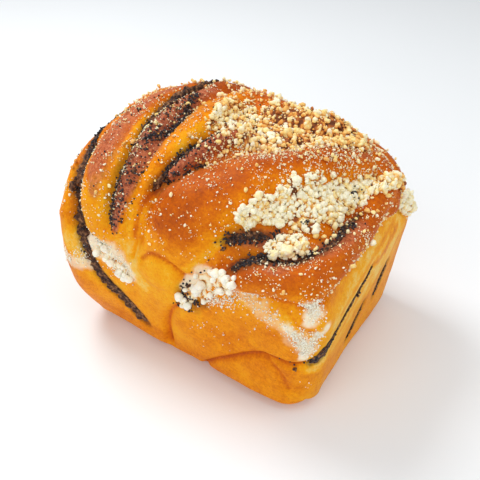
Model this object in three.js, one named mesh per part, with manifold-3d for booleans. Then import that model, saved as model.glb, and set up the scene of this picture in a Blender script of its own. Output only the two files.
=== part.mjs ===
// Poppy seed roll: a braided loaf baked in a small tin, with streusel on top.
// Millimetres, +Z up, the long side along X, resting on its flat base at z = 0.
import * as THREE from "three";
import Module from "manifold-3d";

// Driving sizes of the plain loaf
const RIM_X = 78.2; // half length at the tin's rim
const RIM_Y = 61.6; // half width at the tin's rim
const RIM_Z = 74; // height of the tin's rim
const TAPER = 0.099; // slope of the tin's wall
const CROWN = 47; // rise of the dome over the rim
const CROWN_TILT_X = -0.137; // the dome is lower at the right end
const CROWN_TILT_Y = 0.048;
const CORNER_FOOT = 14; // corner radii in plan, at the foot, rim and top
const CORNER_RIM = 15.4;
const CORNER_TOP = 64;
const FOOT_ROUND = 7; // rounding of the bottom edge
const DOME_POWER = 2.3;
const HEART = new THREE.Vector3(0, 0, 52); // middle that the surface is measured from
const HEART_SPREAD = new THREE.Vector3(0.45, 0.25, 0.2);

// Mesh fineness of the dough
const STEPS_X = 34;
const STEPS_Y = 26;
const STEPS_Z = 16;

const VALLEY = 5.2; // depth between strands on the top
const SOFTEN = 1.8; // reach over which creases are softened
const GAP = 0.3; // clearance between neighbouring bodies

// Strands of dough: a spine with half widths along it and a rise over the plain loaf
const STRANDS = [
  {
    spine: [
      [-68, 54, 66], [-66, 34, 102], [-70, -6, 111], [-76, -34, 99],
      [-71, -53, 88], [-67, -60, 68], [-60, -60, 52],
    ],
    half: [9, 12, 12, 10, 8, 8, 6],
    rise: 1,
  },
  {
    spine: [
      [-44, 62, 64], [-44, 48, 104], [-42, 20, 122], [-46, -10, 123],
      [-51, -38, 112], [-48, -56, 98], [-45, -62, 76],
    ],
    half: [8, 11, 10, 11, 15, 13, 11],
    rise: 1.5,
  },
  {
    spine: [
      [-22, 62, 64], [-22, 54, 98], [-25, 28, 120], [-30, -9, 124],
      [-30, -36, 116], [-30, -54, 102], [-32, -62, 78],
    ],
    half: [7, 10, 8, 7.5, 7, 6.5, 5],
    rise: 2,
  },
  {
    spine: [
      [-2, 62, 64], [-5, 52, 98], [-12, 26, 121], [-16, -6, 123],
      [-16, -26, 119], [-19, -47, 108], [-24, -62, 79],
    ],
    half: [7, 9, 8, 8, 8, 6.5, 4.5],
    rise: 0.5,
  },
  {
    spine: [[6, -10, 120], [0, -20, 118], [-5, -32, 116], [-10, -44, 109]],
    half: [5, 5, 4.5, 3],
    rise: 1.6,
  },
  {
    spine: [
      [-9, -61, 66], [0, -61, 87], [8, -51, 101],
      [26, -29, 112], [42, -6, 113], [56, 22, 106],
    ],
    half: [13, 19, 19, 16, 12, 12],
    rise: 2.5,
  },
  {
    spine: [[30, -62, 74], [48, -62, 82], [66, -55, 84], [74, -38, 88], [76, -8, 88], [72, 22, 92]],
    half: [8, 10, 10, 10, 10, 9],
    rise: 2,
  },
  {
    spine: [[-8, 32, 119], [18, 28, 117], [44, 32, 109], [66, 32, 96], [76, 22, 84]],
    half: [10, 12, 12, 12, 8],
    rise: 1,
  },
  {
    spine: [[12, 62, 70], [30, 57, 92], [54, 50, 94], [70, 42, 82]],
    half: [8, 12, 11, 8],
    rise: 1,
  },
];

// Seams and cuts pressed into the surface: depth and half width of each groove
const SEAMS = [
  {
    line: [[-17, -61, 68], [-12, -61, 73], [-7, -62, 75], [0, -62, 73], [6, -61, 67]],
    depth: 2.6,
    half: 1.5,
  },
  { line: [[3, -59, 47], [-4, -58, 39], [-9, -57, 25], [-10, -55, 10]], depth: 3.4, half: 2.2 },
  {
    line: [[13, -55, 7], [23, -56, 17], [33, -57, 25], [46, -58, 34], [55, -58, 36], [71, -54, 38]],
    depth: 2.8,
    half: 1.6,
  },
  { line: [[50, -58, 34], [58, -57, 28], [62, -56, 18]], depth: 1.4, half: 2.2 },
  { line: [[-57, -61, 70], [-50, -61, 68], [-43, -61, 64]], depth: 2.6, half: 1.8 },
  { line: [[12, -61, 60], [26, -61, 69], [50, -62, 71], [72, -58, 72]], depth: 1.6, half: 3 },
  {
    line: [[-15, -51, 104], [-18, -55, 98], [-21, -60, 90], [-23, -62, 76], [-25, -61, 64]],
    depth: 2.2,
    half: 1.5,
  },
  { line: [[-60, -36, 108], [-57, -46, 104], [-51, -55, 98], [-44, -60, 90]], depth: 1, half: 1.6 },
  { line: [[-46, -14, 121], [-44, -31, 117], [-42, -44, 110], [-41, -54, 101]], depth: 0.8, half: 1.8 },
  { line: [[59, -61, 68], [64, -61, 65], [69, -59, 61], [74, -55, 58]], depth: 1.4, half: 1.1 },
];

// Swellings and dents of the plain loaf: centre, reach and height
const SWELLS = [
  { at: [-74, -40, 32], reach: 34, height: 5 },
  { at: [-74, -56, 48], reach: 18, height: 2 },
  { at: [-74, -58, 2], reach: 26, height: -7 },
  { at: [-42, -58, 0], reach: 26, height: -2.5 },
  { at: [53, -57, 7], reach: 24, height: 3.6 },
  { at: [-8, -62, 56], reach: 18, height: 2 },
  { at: [10, -58, 30], reach: 22, height: 2.4 },
  { at: [48, -45, 102], reach: 15, height: -5 },
  { at: [66, -8, 100], reach: 20, height: -5 },
  { at: [10, 2, 121], reach: 16, height: -3 },
  { at: [-34, 20, 124], reach: 20, height: -3 },
  { at: [78, 44, 84], reach: 12, height: -4 },
  { at: [76, 0, 22], reach: 26, height: -1.5 },
  { at: [-20, -61, 84], reach: 12, height: -2 },
  { at: [-46, 38, 117], reach: 16, height: -3.6 },
  { at: [-33, 24, 122], reach: 9, height: 3 },
  { at: [-64, -56, 22], reach: 18, height: 3.2 },
  { at: [-74, -56, 77], reach: 11, height: -1.6 },
  { at: [72, -36, 2], reach: 15, height: -1.5 },
  { at: [32, 34, 112], reach: 14, height: 2.6 },
];

// Poppy filling: layers that come out at the surface and run into the dough
const FILLINGS = [
  {
    name: "filling_left",
    line: [
      [-49, 12, 121], [-62, -4, 115], [-70, -24, 105], [-67, -44, 98], [-61, -59, 86],
      [-58, -62, 72], [-54, -60, 58], [-45, -58, 40], [-25, -56, 16],
    ],
    half: [1.2, 1.6, 1.8, 1.6, 1.6, 1.8, 2, 2.7, 2.4],
    depth: 24,
    groove: 2,
  },
  {
    name: "filling_ridge",
    line: [
      [-33, 38, 118], [-33, 21, 123], [-34, 4, 124], [-37, -12, 122],
      [-38, -30, 118], [-35, -48, 108], [-35, -61, 81],
    ],
    half: [1.8, 2.4, 2.2, 1.5, 1.4, 1.2, 1],
    depth: 20,
    groove: 1.5,
  },
  {
    name: "filling_fold",
    line: [[0, -10, 121], [-6, -20, 120], [-10, -34, 115], [-13, -44, 110], [-17, -53, 103]],
    half: [1.8, 2.2, 1.8, 1.5, 1.2],
    depth: 14,
    groove: 1.6,
  },
  {
    name: "filling_pocket",
    line: [[25, -58, 91], [33, -54, 97], [43, -48, 100]],
    half: [1.4, 2.4, 1.6],
    depth: 9,
    groove: 1,
  },
  {
    name: "filling_crevice",
    line: [
      [31, -61, 80], [38, -60, 86], [47, -57, 90],
      [60, -49, 92], [69, -33, 93], [72, -2, 93],
    ],
    half: [1.6, 1.8, 1.6, 1.3, 1.2, 1],
    depth: 20,
    groove: 3,
  },
  {
    name: "filling_end_upper",
    line: [[75, 28, 43], [74, 24, 35], [73, 21, 25]],
    half: [0.8, 1.2, 0.9],
    depth: 16,
    groove: 0.8,
  },
  {
    name: "filling_end_long",
    line: [[77, 0, 60], [76, -12, 55], [76, -28, 50], [75, -41, 45], [71, -53, 37]],
    half: [0.7, 0.8, 1, 2, 3],
    depth: 22,
    groove: 1,
  },
  {
    name: "filling_end_low",
    line: [[74, 6, 29], [73, -2, 22], [72, -9, 16]],
    half: [0.8, 1.4, 1],
    depth: 16,
    groove: 0.8,
  },
];

// Streusel heaps: a bed along a spine, covered with lumps
const HEAPS = [
  {
    name: "streusel_crest",
    spine: [[-13, -3, 122], [0, 2, 121], [16, 9, 118], [36, 21, 113], [56, 28, 107]],
    half: [9, 18, 18, 13, 4],
    bed: 1.8,
    lumps: 20,
    size: [1.8, 3.4],
  },
  {
    name: "streusel_crevice",
    spine: [
      [29, -50, 101], [40, -37, 106], [51, -27, 106], [60, -13, 104],
      [65, 2, 102], [69, 18, 97], [74, 34, 89],
    ],
    half: [3, 5.5, 11.5, 10.5, 6.5, 4, 2.5],
    bed: 2.4,
    lumps: 20,
    size: [1.8, 3.4],
  },
  {
    name: "streusel_near",
    spine: [[45, -54, 94], [53, -48, 97], [61, -40, 98]],
    half: [2.5, 5.5, 5],
    bed: 2.2,
    lumps: 5,
    size: [1.8, 2.8],
  },
  {
    name: "streusel_front",
    spine: [[3, -59, 49], [12, -60, 59], [20, -61, 68], [29, -62, 75], [37, -61, 79]],
    half: [2, 5, 6, 5, 2],
    bed: 0.7,
    lumps: 15,
    size: [2, 3],
  },
  {
    name: "streusel_left",
    spine: [[-47, -61, 66], [-41, -60, 60], [-35, -60, 55], [-30, -59, 47]],
    half: [2, 4, 4.5, 2],
    bed: 0.6,
    lumps: 7,
    size: [1.9, 2.8],
  },
  {
    name: "streusel_end",
    spine: [[77, 34, 82], [78, 41, 76], [78, 47, 68]],
    half: [3.5, 6.5, 5],
    bed: 4,
    lumps: 5,
    size: [3, 5],
  },
];

const PROUD = 0.9; // height of the filling over the dough beside it
const LOOSE_LUMPS = 12; // single lumps of streusel on the dough
const LOOSE_SIZE = [1.6, 2.3];

// Seeded random numbers
function dice(seed) {
  let state = seed >>> 0;
  return () => {
    state = (state + 0x6d2b79f5) >>> 0;
    let t = state;
    t = Math.imul(t ^ (t >>> 15), t | 1);
    t ^= t + Math.imul(t ^ (t >>> 7), t | 61);
    return ((t ^ (t >>> 14)) >>> 0) / 4294967296;
  };
}

const clamp = (v, lo, hi) => Math.min(Math.max(v, lo), hi);

// Below zero inside the plain loaf's walls and dome, about millimetres outside
function field(p) {
  const crown = CROWN + CROWN_TILT_X * p.x + CROWN_TILT_Y * p.y;
  const up = clamp((p.z - RIM_Z) / crown, 0, 1);
  const inward = (RIM_Z - clamp(p.z, 0, RIM_Z)) * TAPER;
  const rimCorner = CORNER_FOOT + ((CORNER_RIM - CORNER_FOOT) * clamp(p.z, 0, RIM_Z)) / RIM_Z;
  const corner = rimCorner + (CORNER_TOP - CORNER_RIM) * up;
  const qx = Math.abs(p.x) - (RIM_X - inward - corner);
  const qy = Math.abs(p.y) - (RIM_Y - inward - corner);
  const plan = Math.hypot(Math.max(qx, 0), Math.max(qy, 0)) + Math.min(Math.max(qx, qy), 0) - corner;
  const dome = RIM_Y * (1 - Math.pow(Math.max(1 - up ** DOME_POWER, 0), 1 / DOME_POWER));
  const low = FOOT_ROUND - clamp(p.z, 0, FOOT_ROUND);
  const foot = FOOT_ROUND - Math.sqrt(FOOT_ROUND ** 2 - low ** 2);
  const above = 2 * Math.max(p.z - RIM_Z - crown, 0);
  return plan + dome + foot + above;
}

// The inner point that a point's ray starts from
function heartOf(p) {
  return p.clone().sub(HEART).multiply(HEART_SPREAD).add(HEART);
}

// The plain loaf's surface on the ray through p
function snap(p) {
  const start = heartOf(p);
  const way = p.clone().sub(start).normalize();
  let lo = 0;
  let hi = 140;
  for (let i = 0; i < 26; i++) {
    const mid = (lo + hi) / 2;
    const probe = start.clone().addScaledVector(way, mid);
    const inside = probe.z > 0 && field(probe) < 0;
    lo = inside ? mid : lo;
    hi = inside ? hi : mid;
  }
  return start.addScaledVector(way, lo);
}

function normalAt(p) {
  const step = 1;
  const slope = ["x", "y", "z"].map((axis) => {
    const ahead = p.clone();
    const behind = p.clone();
    ahead[axis] += step;
    behind[axis] -= step;
    return field(ahead) - field(behind);
  });
  return new THREE.Vector3(...slope).normalize();
}

// A smooth line through control points, laid on the plain loaf, with a point every 8 mm or as asked
function lay(points, pieces) {
  const knots = points.map((p) => new THREE.Vector3(...p));
  const curve = new THREE.CatmullRomCurve3(knots, false, "catmullrom", 0.5);
  return curve.getPoints(pieces ?? Math.max(4, Math.round(curve.getLength() / 8))).map(snap);
}

// Distance from p to a line, and how far along it the nearest point is, 0 to 1
function nearest(p, line) {
  let best = Infinity;
  let along = 0;
  for (let i = 0; i + 1 < line.length; i++) {
    const a = line[i];
    const b = line[i + 1];
    const run = [b.x - a.x, b.y - a.y, b.z - a.z];
    const off = [p.x - a.x, p.y - a.y, p.z - a.z];
    const dot = off[0] * run[0] + off[1] * run[1] + off[2] * run[2];
    const t = clamp(dot / (run[0] ** 2 + run[1] ** 2 + run[2] ** 2), 0, 1);
    const away = Math.hypot(off[0] - t * run[0], off[1] - t * run[1], off[2] - t * run[2]);
    if (away < best) {
      best = away;
      along = (i + t) / (line.length - 1);
    }
  }
  return [best, along];
}

function between(list, along) {
  const at = along * (list.length - 1);
  const i = Math.min(Math.floor(at), list.length - 2);
  return list[i] + (list[i + 1] - list[i]) * (at - i);
}

const strands = STRANDS.map((s) => ({ ...s, line: lay(s.spine, 24) }));
const seams = SEAMS.map((s) => ({ ...s, line: lay(s.line, 16) }));
const fillings = FILLINGS.map((f) => ({ ...f, line: lay(f.line) }));
const swells = SWELLS.map((s) => ({ ...s, at: new THREE.Vector3(...s.at) }));

// Height of the dough over the plain loaf
function relief(p) {
  const top = THREE.MathUtils.smoothstep(p.z, RIM_Z - 14, RIM_Z + 6);
  let height = -VALLEY * top;
  for (const s of strands) {
    const [away, along] = nearest(p, s.line);
    const u = away / between(s.half, along);
    const arch = Math.max(1 - u ** 2.4, 0) ** 0.7;
    height = Math.max(height, -VALLEY * top + (s.rise + VALLEY * top) * arch);
  }
  for (const s of seams) height -= s.depth * Math.exp(-((nearest(p, s.line)[0] / s.half) ** 2));
  for (const f of fillings) height -= f.groove * Math.exp(-((nearest(p, f.line)[0] / 3) ** 2));
  for (const s of swells) height += s.height * Math.exp(-((p.distanceTo(s.at) / s.reach) ** 2));
  const slow = Math.sin(p.x / 9 + 1.3) * Math.sin(p.y / 8 - 0.4) * Math.sin(p.z / 11 + 0.8);
  return height + 0.7 * slow;
}

// The dough's surface over a point of the plain loaf, with its creases softened a little
function surface(p, extra = 0) {
  const normal = normalAt(p);
  let height = relief(p) / 5;
  for (let turn = 0; turn < 4; turn++) {
    const side = new THREE.Vector3(Math.cos((turn * Math.PI) / 2), Math.sin((turn * Math.PI) / 2), 0.3);
    side.addScaledVector(normal, -side.dot(normal)).setLength(SOFTEN);
    height += relief(p.clone().add(side)) / 5;
  }
  const q = p.clone().addScaledVector(normal, height + extra);
  q.z = Math.max(q.z, 0);
  return q;
}

// The edge of the flat base, on the ray through x, y
function footing(x, y) {
  let share = 0.2;
  for (let step = 0.5; step > 0.0001; step /= 2) {
    const inside = field(new THREE.Vector3(x, y, 0.001).multiplyScalar(share + step)) < -0.05;
    share += inside ? step : 0;
  }
  return new THREE.Vector3(x * share, y * share, 0);
}

function solid(points, faces) {
  const geometry = new THREE.BufferGeometry();
  const flat = points.flatMap((p) => p.toArray());
  geometry.setAttribute("position", new THREE.Float32BufferAttribute(flat, 3));
  geometry.setIndex(faces.flat());
  return geometry;
}

// The dough's skin: a box of squares drawn out to the surface, with a flat base
function doughShape(extra) {
  const points = [];
  const index = new Map();
  const faces = [];
  const rise = (k) => {
    const t = (k - 2) / (STEPS_Z - 2);
    return k < 2 ? 1.8 * k : 6 + 110 * (1.35 * t - 0.35 * t * t);
  };
  const base = (x, y) => {
    const foot = footing(x, y);
    const outward = normalAt(foot).setZ(0).normalize();
    return foot.clone().addScaledVector(outward, relief(foot));
  };
  const corner = (i, j, k) => {
    const key = [i, j, k].join();
    if (!index.has(key)) {
      const x = RIM_X * (2 * (i / STEPS_X) - 1);
      const y = RIM_Y * (2 * (j / STEPS_Y) - 1);
      index.set(key, points.length);
      points.push(k === 0 ? base(x, y) : surface(snap(new THREE.Vector3(x, y, rise(k))), extra));
    }
    return index.get(key);
  };
  const square = (a, b, c, d) => faces.push([a, b, c], [a, c, d]);
  for (let i = 0; i < STEPS_X; i++) {
    for (let j = 0; j < STEPS_Y; j++) {
      const k = STEPS_Z;
      square(corner(i, j, k), corner(i + 1, j, k), corner(i + 1, j + 1, k), corner(i, j + 1, k));
    }
  }
  const ring = [];
  for (let i = 0; i < STEPS_X; i++) ring.push([i, 0]);
  for (let j = 0; j < STEPS_Y; j++) ring.push([STEPS_X, j]);
  for (let i = STEPS_X; i > 0; i--) ring.push([i, STEPS_Y]);
  for (let j = STEPS_Y; j > 0; j--) ring.push([0, j]);
  const hub = points.length;
  points.push(new THREE.Vector3(0, 0, 0));
  ring.forEach(([i, j], n) => {
    const [i2, j2] = ring[(n + 1) % ring.length];
    for (let k = 0; k < STEPS_Z; k++) {
      square(corner(i, j, k), corner(i2, j2, k), corner(i2, j2, k + 1), corner(i, j, k + 1));
    }
    faces.push([hub, corner(i2, j2, 0), corner(i, j, 0)]);
  });
  return solid(points, faces);
}

// A curved sheet along a line: it stands proud of the dough by one size and runs in by another
function sheetShape(line, half, proud, depth, extend) {
  const count = line.length;
  const points = [];
  const faces = [];
  line.forEach((p, n) => {
    const ahead = line[Math.min(n + 1, count - 1)];
    const behind = line[Math.max(n - 1, 0)];
    const run = ahead.clone().sub(behind).normalize();
    const inward = heartOf(p).sub(p).normalize();
    const side = run.clone().cross(inward).normalize();
    const along = n / (count - 1);
    const swell = n === 0 || n === count - 1 ? 0.5 : 1 + 0.12 * Math.sin(n * 2.1);
    const wide = between(half, along) * swell + extend;
    const deep = depth * (0.45 + 0.55 * Math.sin(Math.PI * clamp(along, 0.05, 0.95))) + extend;
    const shift = n === 0 ? -extend : n === count - 1 ? extend : 0;
    const base = surface(p).addScaledVector(run, shift);
    const outer = base.clone().addScaledVector(inward, -proud);
    const inner = base.clone().addScaledVector(inward, deep);
    points.push(outer.clone().addScaledVector(side, wide));
    points.push(outer.clone().addScaledVector(side, -wide));
    points.push(inner.clone().addScaledVector(side, -wide));
    points.push(inner.clone().addScaledVector(side, wide));
  });
  for (let n = 0; n + 1 < count; n++) {
    for (let c = 0; c < 4; c++) {
      const a = 4 * n + c;
      const b = 4 * n + ((c + 1) % 4);
      faces.push([a, b, b + 4], [a, b + 4, a + 4]);
    }
  }
  const end = 4 * (count - 1);
  faces.push([0, 2, 1], [0, 3, 2], [end, end + 1, end + 2], [end, end + 2, end + 3]);
  return solid(points, faces);
}

// An uneven lump with few sides
function lumpShape(at, size, roll) {
  const geometry = new THREE.IcosahedronGeometry(1, size > 3.9 ? 1 : 0);
  const merged = new Map();
  const points = [];
  const faces = [];
  const place = geometry.attributes.position;
  const stretch = [0.85 + 0.35 * roll(), 0.85 + 0.35 * roll(), 0.75 + 0.3 * roll()];
  const turn = new THREE.Euler(6 * roll(), 6 * roll(), 6 * roll());
  const ids = [];
  for (let i = 0; i < place.count; i++) {
    const v = new THREE.Vector3().fromBufferAttribute(place, i);
    const key = v.toArray().map((c) => c.toFixed(4)).join();
    if (!merged.has(key)) {
      merged.set(key, points.length);
      const bump = 0.86 + 0.28 * roll();
      const p = v.multiplyScalar(size * bump).multiply(new THREE.Vector3(...stretch));
      points.push(p.applyEuler(turn).add(at));
    }
    ids.push(merged.get(key));
  }
  for (let i = 0; i < ids.length; i += 3) faces.push(ids.slice(i, i + 3));
  return solid(points, faces);
}

// The bed of a heap: a lens that follows the dough from just under its surface
function bedShape(heap, line) {
  const across = 4;
  const points = [];
  const faces = [];
  const count = line.length;
  const rows = [];
  line.forEach((p, n) => {
    const ahead = line[Math.min(n + 1, count - 1)];
    const behind = line[Math.max(n - 1, 0)];
    const run = ahead.clone().sub(behind).normalize();
    const side = run.cross(normalAt(p)).normalize();
    const along = n / (count - 1);
    const half = between(heap.half, along) * (1 + 0.12 * Math.sin(n * 1.7));
    const row = [];
    for (let m = 0; m <= across; m++) {
      const v = (2 * m) / across - 1;
      const q = snap(p.clone().addScaledVector(side, v * half));
      const edge = n === 0 || n === count - 1 || m === 0 || m === across;
      const uneven = 1 + 0.45 * Math.sin(5.1 * n + 3.7 * m);
      const height = edge ? -0.2 : heap.bed * (1 - v * v * 0.7) * uneven;
      row.push([surface(q, height), surface(q, -1.5)]);
    }
    rows.push(row);
  });
  const id = (n, m, low) => 2 * (n * (across + 1) + m) + low;
  rows.forEach((row) => row.forEach(([high, low]) => points.push(high, low)));
  const square = (a, b, c, d) => faces.push([a, b, c], [a, c, d]);
  for (let n = 0; n + 1 < count; n++) {
    for (let m = 0; m < across; m++) {
      square(id(n, m, 0), id(n, m + 1, 0), id(n + 1, m + 1, 0), id(n + 1, m, 0));
      square(id(n, m, 1), id(n + 1, m, 1), id(n + 1, m + 1, 1), id(n, m + 1, 1));
    }
    square(id(n, 0, 0), id(n + 1, 0, 0), id(n + 1, 0, 1), id(n, 0, 1));
    square(id(n + 1, across, 0), id(n, across, 0), id(n, across, 1), id(n + 1, across, 1));
  }
  for (let m = 0; m < across; m++) {
    square(id(0, m + 1, 0), id(0, m, 0), id(0, m, 1), id(0, m + 1, 1));
    const e = count - 1;
    square(id(e, m, 0), id(e, m + 1, 0), id(e, m + 1, 1), id(e, m, 1));
  }
  return solid(points, faces);
}

// Lumps strewn over a heap, crowded towards its spine
function heapLumps(heap, line, roll) {
  const lumps = [];
  for (let n = 0; n < heap.lumps; n++) {
    const at = 0.04 + 0.92 * ((n + roll()) / heap.lumps);
    const i = Math.round(at * (line.length - 1));
    const run = line[Math.min(i + 1, line.length - 1)].clone().sub(line[Math.max(i - 1, 0)]).normalize();
    const side = run.cross(normalAt(line[i])).normalize();
    const v = 2 * ((n * 0.618034 + 0.2 * roll()) % 1) - 1;
    const spot = snap(line[i].clone().addScaledVector(side, v * 0.92 * between(heap.half, at)));
    const size = heap.size[0] + (heap.size[1] - heap.size[0]) * roll() ** 1.5;
    const height = heap.bed * (1 - 0.7 * v * v) + size * 0.25;
    lumps.push(lumpShape(surface(spot, height), size, roll));
  }
  return lumps;
}

const wasm = await Module();
wasm.setup();

function toBody(geometry) {
  const body = new wasm.Manifold(
    new wasm.Mesh({
      numProp: 3,
      vertProperties: new Float32Array(geometry.attributes.position.array),
      triVerts: new Uint32Array(geometry.index.array),
    }),
  );
  return body;
}

// The largest connected part of a body, as a geometry
function toGeometry(body) {
  const mesh = body.getMesh();
  const points = mesh.vertProperties;
  const owner = Array.from({ length: points.length / mesh.numProp }, (_, i) => i);
  const root = (i) => {
    while (owner[i] !== i) {
      owner[i] = owner[owner[i]];
      i = owner[i];
    }
    return i;
  };
  const tri = mesh.triVerts;
  for (let i = 0; i < tri.length; i += 3) {
    owner[root(tri[i])] = root(tri[i + 1]);
    owner[root(tri[i + 1])] = root(tri[i + 2]);
  }
  const counts = new Map();
  for (let i = 0; i < tri.length; i += 3) {
    counts.set(root(tri[i]), (counts.get(root(tri[i])) ?? 0) + 1);
  }
  const main = [...counts].sort((a, b) => b[1] - a[1])[0][0];
  const kept = [];
  for (let i = 0; i < tri.length; i += 3) {
    if (root(tri[i]) === main) kept.push(tri[i], tri[i + 1], tri[i + 2]);
  }
  const geometry = new THREE.BufferGeometry();
  geometry.setAttribute("position", new THREE.Float32BufferAttribute(points, 3));
  geometry.setIndex(kept);
  return geometry;
}

// The loaf
const group = new THREE.Group();
group.name = "poppy_seed_roll";
const put = (name, geometry, color, roughness) => {
  const mesh = new THREE.Mesh(geometry, new THREE.MeshStandardMaterial({ color, roughness }));
  mesh.name = name;
  group.add(mesh);
};

const grown = toBody(doughShape(GAP + 0.05));
const beds = HEAPS.map((heap) => ({ heap, line: lay(heap.spine) }));

let dough = toBody(doughShape(0));
const roll = dice(11);
let placed = 0;
while (placed < LOOSE_LUMPS) {
  const guess = new THREE.Vector3(150 * roll() - 75, 110 * roll() - 58, 80 + 60 * roll());
  const spot = snap(guess);
  const clearOfHeaps = beds.every(({ heap, line }) => {
    const [away, along] = nearest(spot, line);
    return away > between(heap.half, along) + 6;
  });
  const clearOfFilling = fillings.every((f) => nearest(spot, f.line)[0] > 6);
  if (spot.z < RIM_Z + 8 || !clearOfHeaps || !clearOfFilling) continue;
  const size = LOOSE_SIZE[0] + (LOOSE_SIZE[1] - LOOSE_SIZE[0]) * roll();
  dough = dough.add(toBody(lumpShape(surface(spot, size * 0.35), size, roll)));
  placed++;
}
for (const f of fillings) {
  dough = dough.subtract(toBody(sheetShape(f.line, f.half, 3.5, f.depth, GAP)));
}
put("dough", toGeometry(dough), 0xc87828, 0.6);

for (const f of fillings) {
  put(f.name, sheetShape(f.line, f.half, PROUD, f.depth, 0), 0x2a1c18, 0.8);
}

beds.forEach(({ heap, line }, n) => {
  const scatter = dice(31 + n);
  let body = toBody(bedShape(heap, line));
  for (const lump of heapLumps(heap, line, scatter)) body = body.add(toBody(lump));
  body = body.subtract(grown);
  for (const f of fillings) {
    body = body.subtract(toBody(sheetShape(f.line, f.half, PROUD + GAP, 4, GAP)));
  }
  put(heap.name, toGeometry(body), 0xf0dca8, 0.9);
});

export default group;
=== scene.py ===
"""A braided poppy seed loaf, dressed for the camera: dough, filling, streusel and loose seeds.

Shapes are worked out in millimetres in the part's own frame and written to Blender in metres.
"""

from collections import namedtuple
import math

import bpy
import numpy as np
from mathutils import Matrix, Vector, noise


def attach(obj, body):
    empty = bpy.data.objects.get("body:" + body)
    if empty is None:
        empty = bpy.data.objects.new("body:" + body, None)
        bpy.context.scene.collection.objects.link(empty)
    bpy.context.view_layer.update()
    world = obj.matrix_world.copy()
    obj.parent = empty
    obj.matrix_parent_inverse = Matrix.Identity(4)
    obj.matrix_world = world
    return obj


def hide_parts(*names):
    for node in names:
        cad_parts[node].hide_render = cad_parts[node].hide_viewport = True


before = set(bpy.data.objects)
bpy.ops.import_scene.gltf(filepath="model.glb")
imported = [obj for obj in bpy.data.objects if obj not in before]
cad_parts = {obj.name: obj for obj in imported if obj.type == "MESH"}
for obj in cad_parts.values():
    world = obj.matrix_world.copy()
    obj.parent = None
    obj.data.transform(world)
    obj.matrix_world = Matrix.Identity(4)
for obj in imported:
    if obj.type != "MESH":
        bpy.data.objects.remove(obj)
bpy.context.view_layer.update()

MM = 0.001

# ---------- the plain loaf, as in the part
RIM_X = 78.2  # half length, half width and height at the tin's rim
RIM_Y = 61.6
RIM_Z = 74.0
TAPER = 0.099  # slope of the tin's wall
CROWN = 47.0  # rise of the dome over the rim, lower at the right end
CROWN_TILT_X = -0.137
CROWN_TILT_Y = 0.048
CORNER_FOOT = 14.0  # corner radii in plan, at the foot, rim and top
CORNER_RIM = 15.4
CORNER_TOP = 64.0
FOOT_ROUND = 7.0  # rounding of the bottom edge
DOME_POWER = 2.3
HEART = np.array([0.0, 0.0, 52.0])  # middle that the surface is measured from
HEART_SPREAD = np.array([0.45, 0.25, 0.2])
FURTHEST = 140.0  # no ray from the heart to the skin is longer
VALLEY = 5.2  # depth between strands on the top
GROOVE_REACH = 3.0  # reach of the groove along a band of filling
BOX_TOP = 116.0  # top of the box that the skin's rows and columns start from

# Fineness of the visible dough
STEPS_X = 160
STEPS_Y = 126
STEPS_Z = 96
SOFTEN = 1.0  # reach over which creases are softened

# Strands of dough: spine, half widths and rise as in the part, then how brown the crust is
# across the strand from its left edge over its middle to its right edge
Strand = namedtuple("Strand", "spine half rise bake")
STRANDS = [
    # outer
    Strand([(-68, 54, 66), (-66, 34, 102), (-70, -6, 111), (-76, -34, 99), (-71, -53, 88), (-67, -60, 68),
            (-60, -60, 52)], (9, 12, 12, 10, 8, 8, 6), 1.0, (0.56, 0.5, 0.46)),
    # fan wide
    Strand([(-44, 62, 64), (-44, 48, 104), (-42, 20, 122), (-46, -10, 123), (-51, -38, 112),
            (-48, -56, 98), (-45, -62, 76)], (8, 11, 10, 11, 15, 13, 11), 1.5, (0.56, 0.66, 0.42)),
    # fan dark
    Strand([(-22, 62, 64), (-22, 54, 98), (-25, 28, 120), (-30, -9, 124), (-30, -36, 116),
            (-30, -54, 102), (-32, -62, 78)], (7, 10, 8, 7.5, 7, 6.5, 5), 2.0, (0.7, 0.74, 0.56)),
    # fan inner
    Strand([(-2, 62, 64), (-5, 52, 98), (-12, 26, 121), (-16, -6, 123), (-16, -26, 119), (-19, -47, 108),
            (-24, -62, 79)], (7, 9, 8, 8, 8, 6.5, 4.5), 0.5, (0.62, 0.5, 0.4)),
    # fold
    Strand([(6, -10, 120), (0, -20, 118), (-5, -32, 116), (-10, -44, 109)], (5, 5, 4.5, 3), 1.6,
           (0.86, 0.78, 0.66)),
    # broad
    Strand([(-9, -61, 66), (0, -61, 87), (8, -51, 101), (26, -29, 112), (42, -6, 113), (56, 22, 106)],
           (13, 19, 19, 16, 12, 12), 2.5, (0.68, 0.66, 0.55)),
    # near edge
    Strand([(30, -62, 74), (48, -62, 82), (66, -55, 84), (74, -38, 88), (76, -8, 88), (72, 22, 92)],
           (8, 10, 10, 10, 10, 9), 2.0, (0.68, 0.62, 0.58)),
    # far right
    Strand([(-8, 32, 119), (18, 28, 117), (44, 32, 109), (66, 32, 96), (76, 22, 84)], (10, 12, 12, 12, 8),
           1.0, (0.68, 0.66, 0.62)),
    # back edge
    Strand([(12, 62, 70), (30, 57, 92), (54, 50, 94), (70, 42, 82)], (8, 12, 11, 8), 1.0,
           (0.6, 0.64, 0.56)),
]

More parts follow.
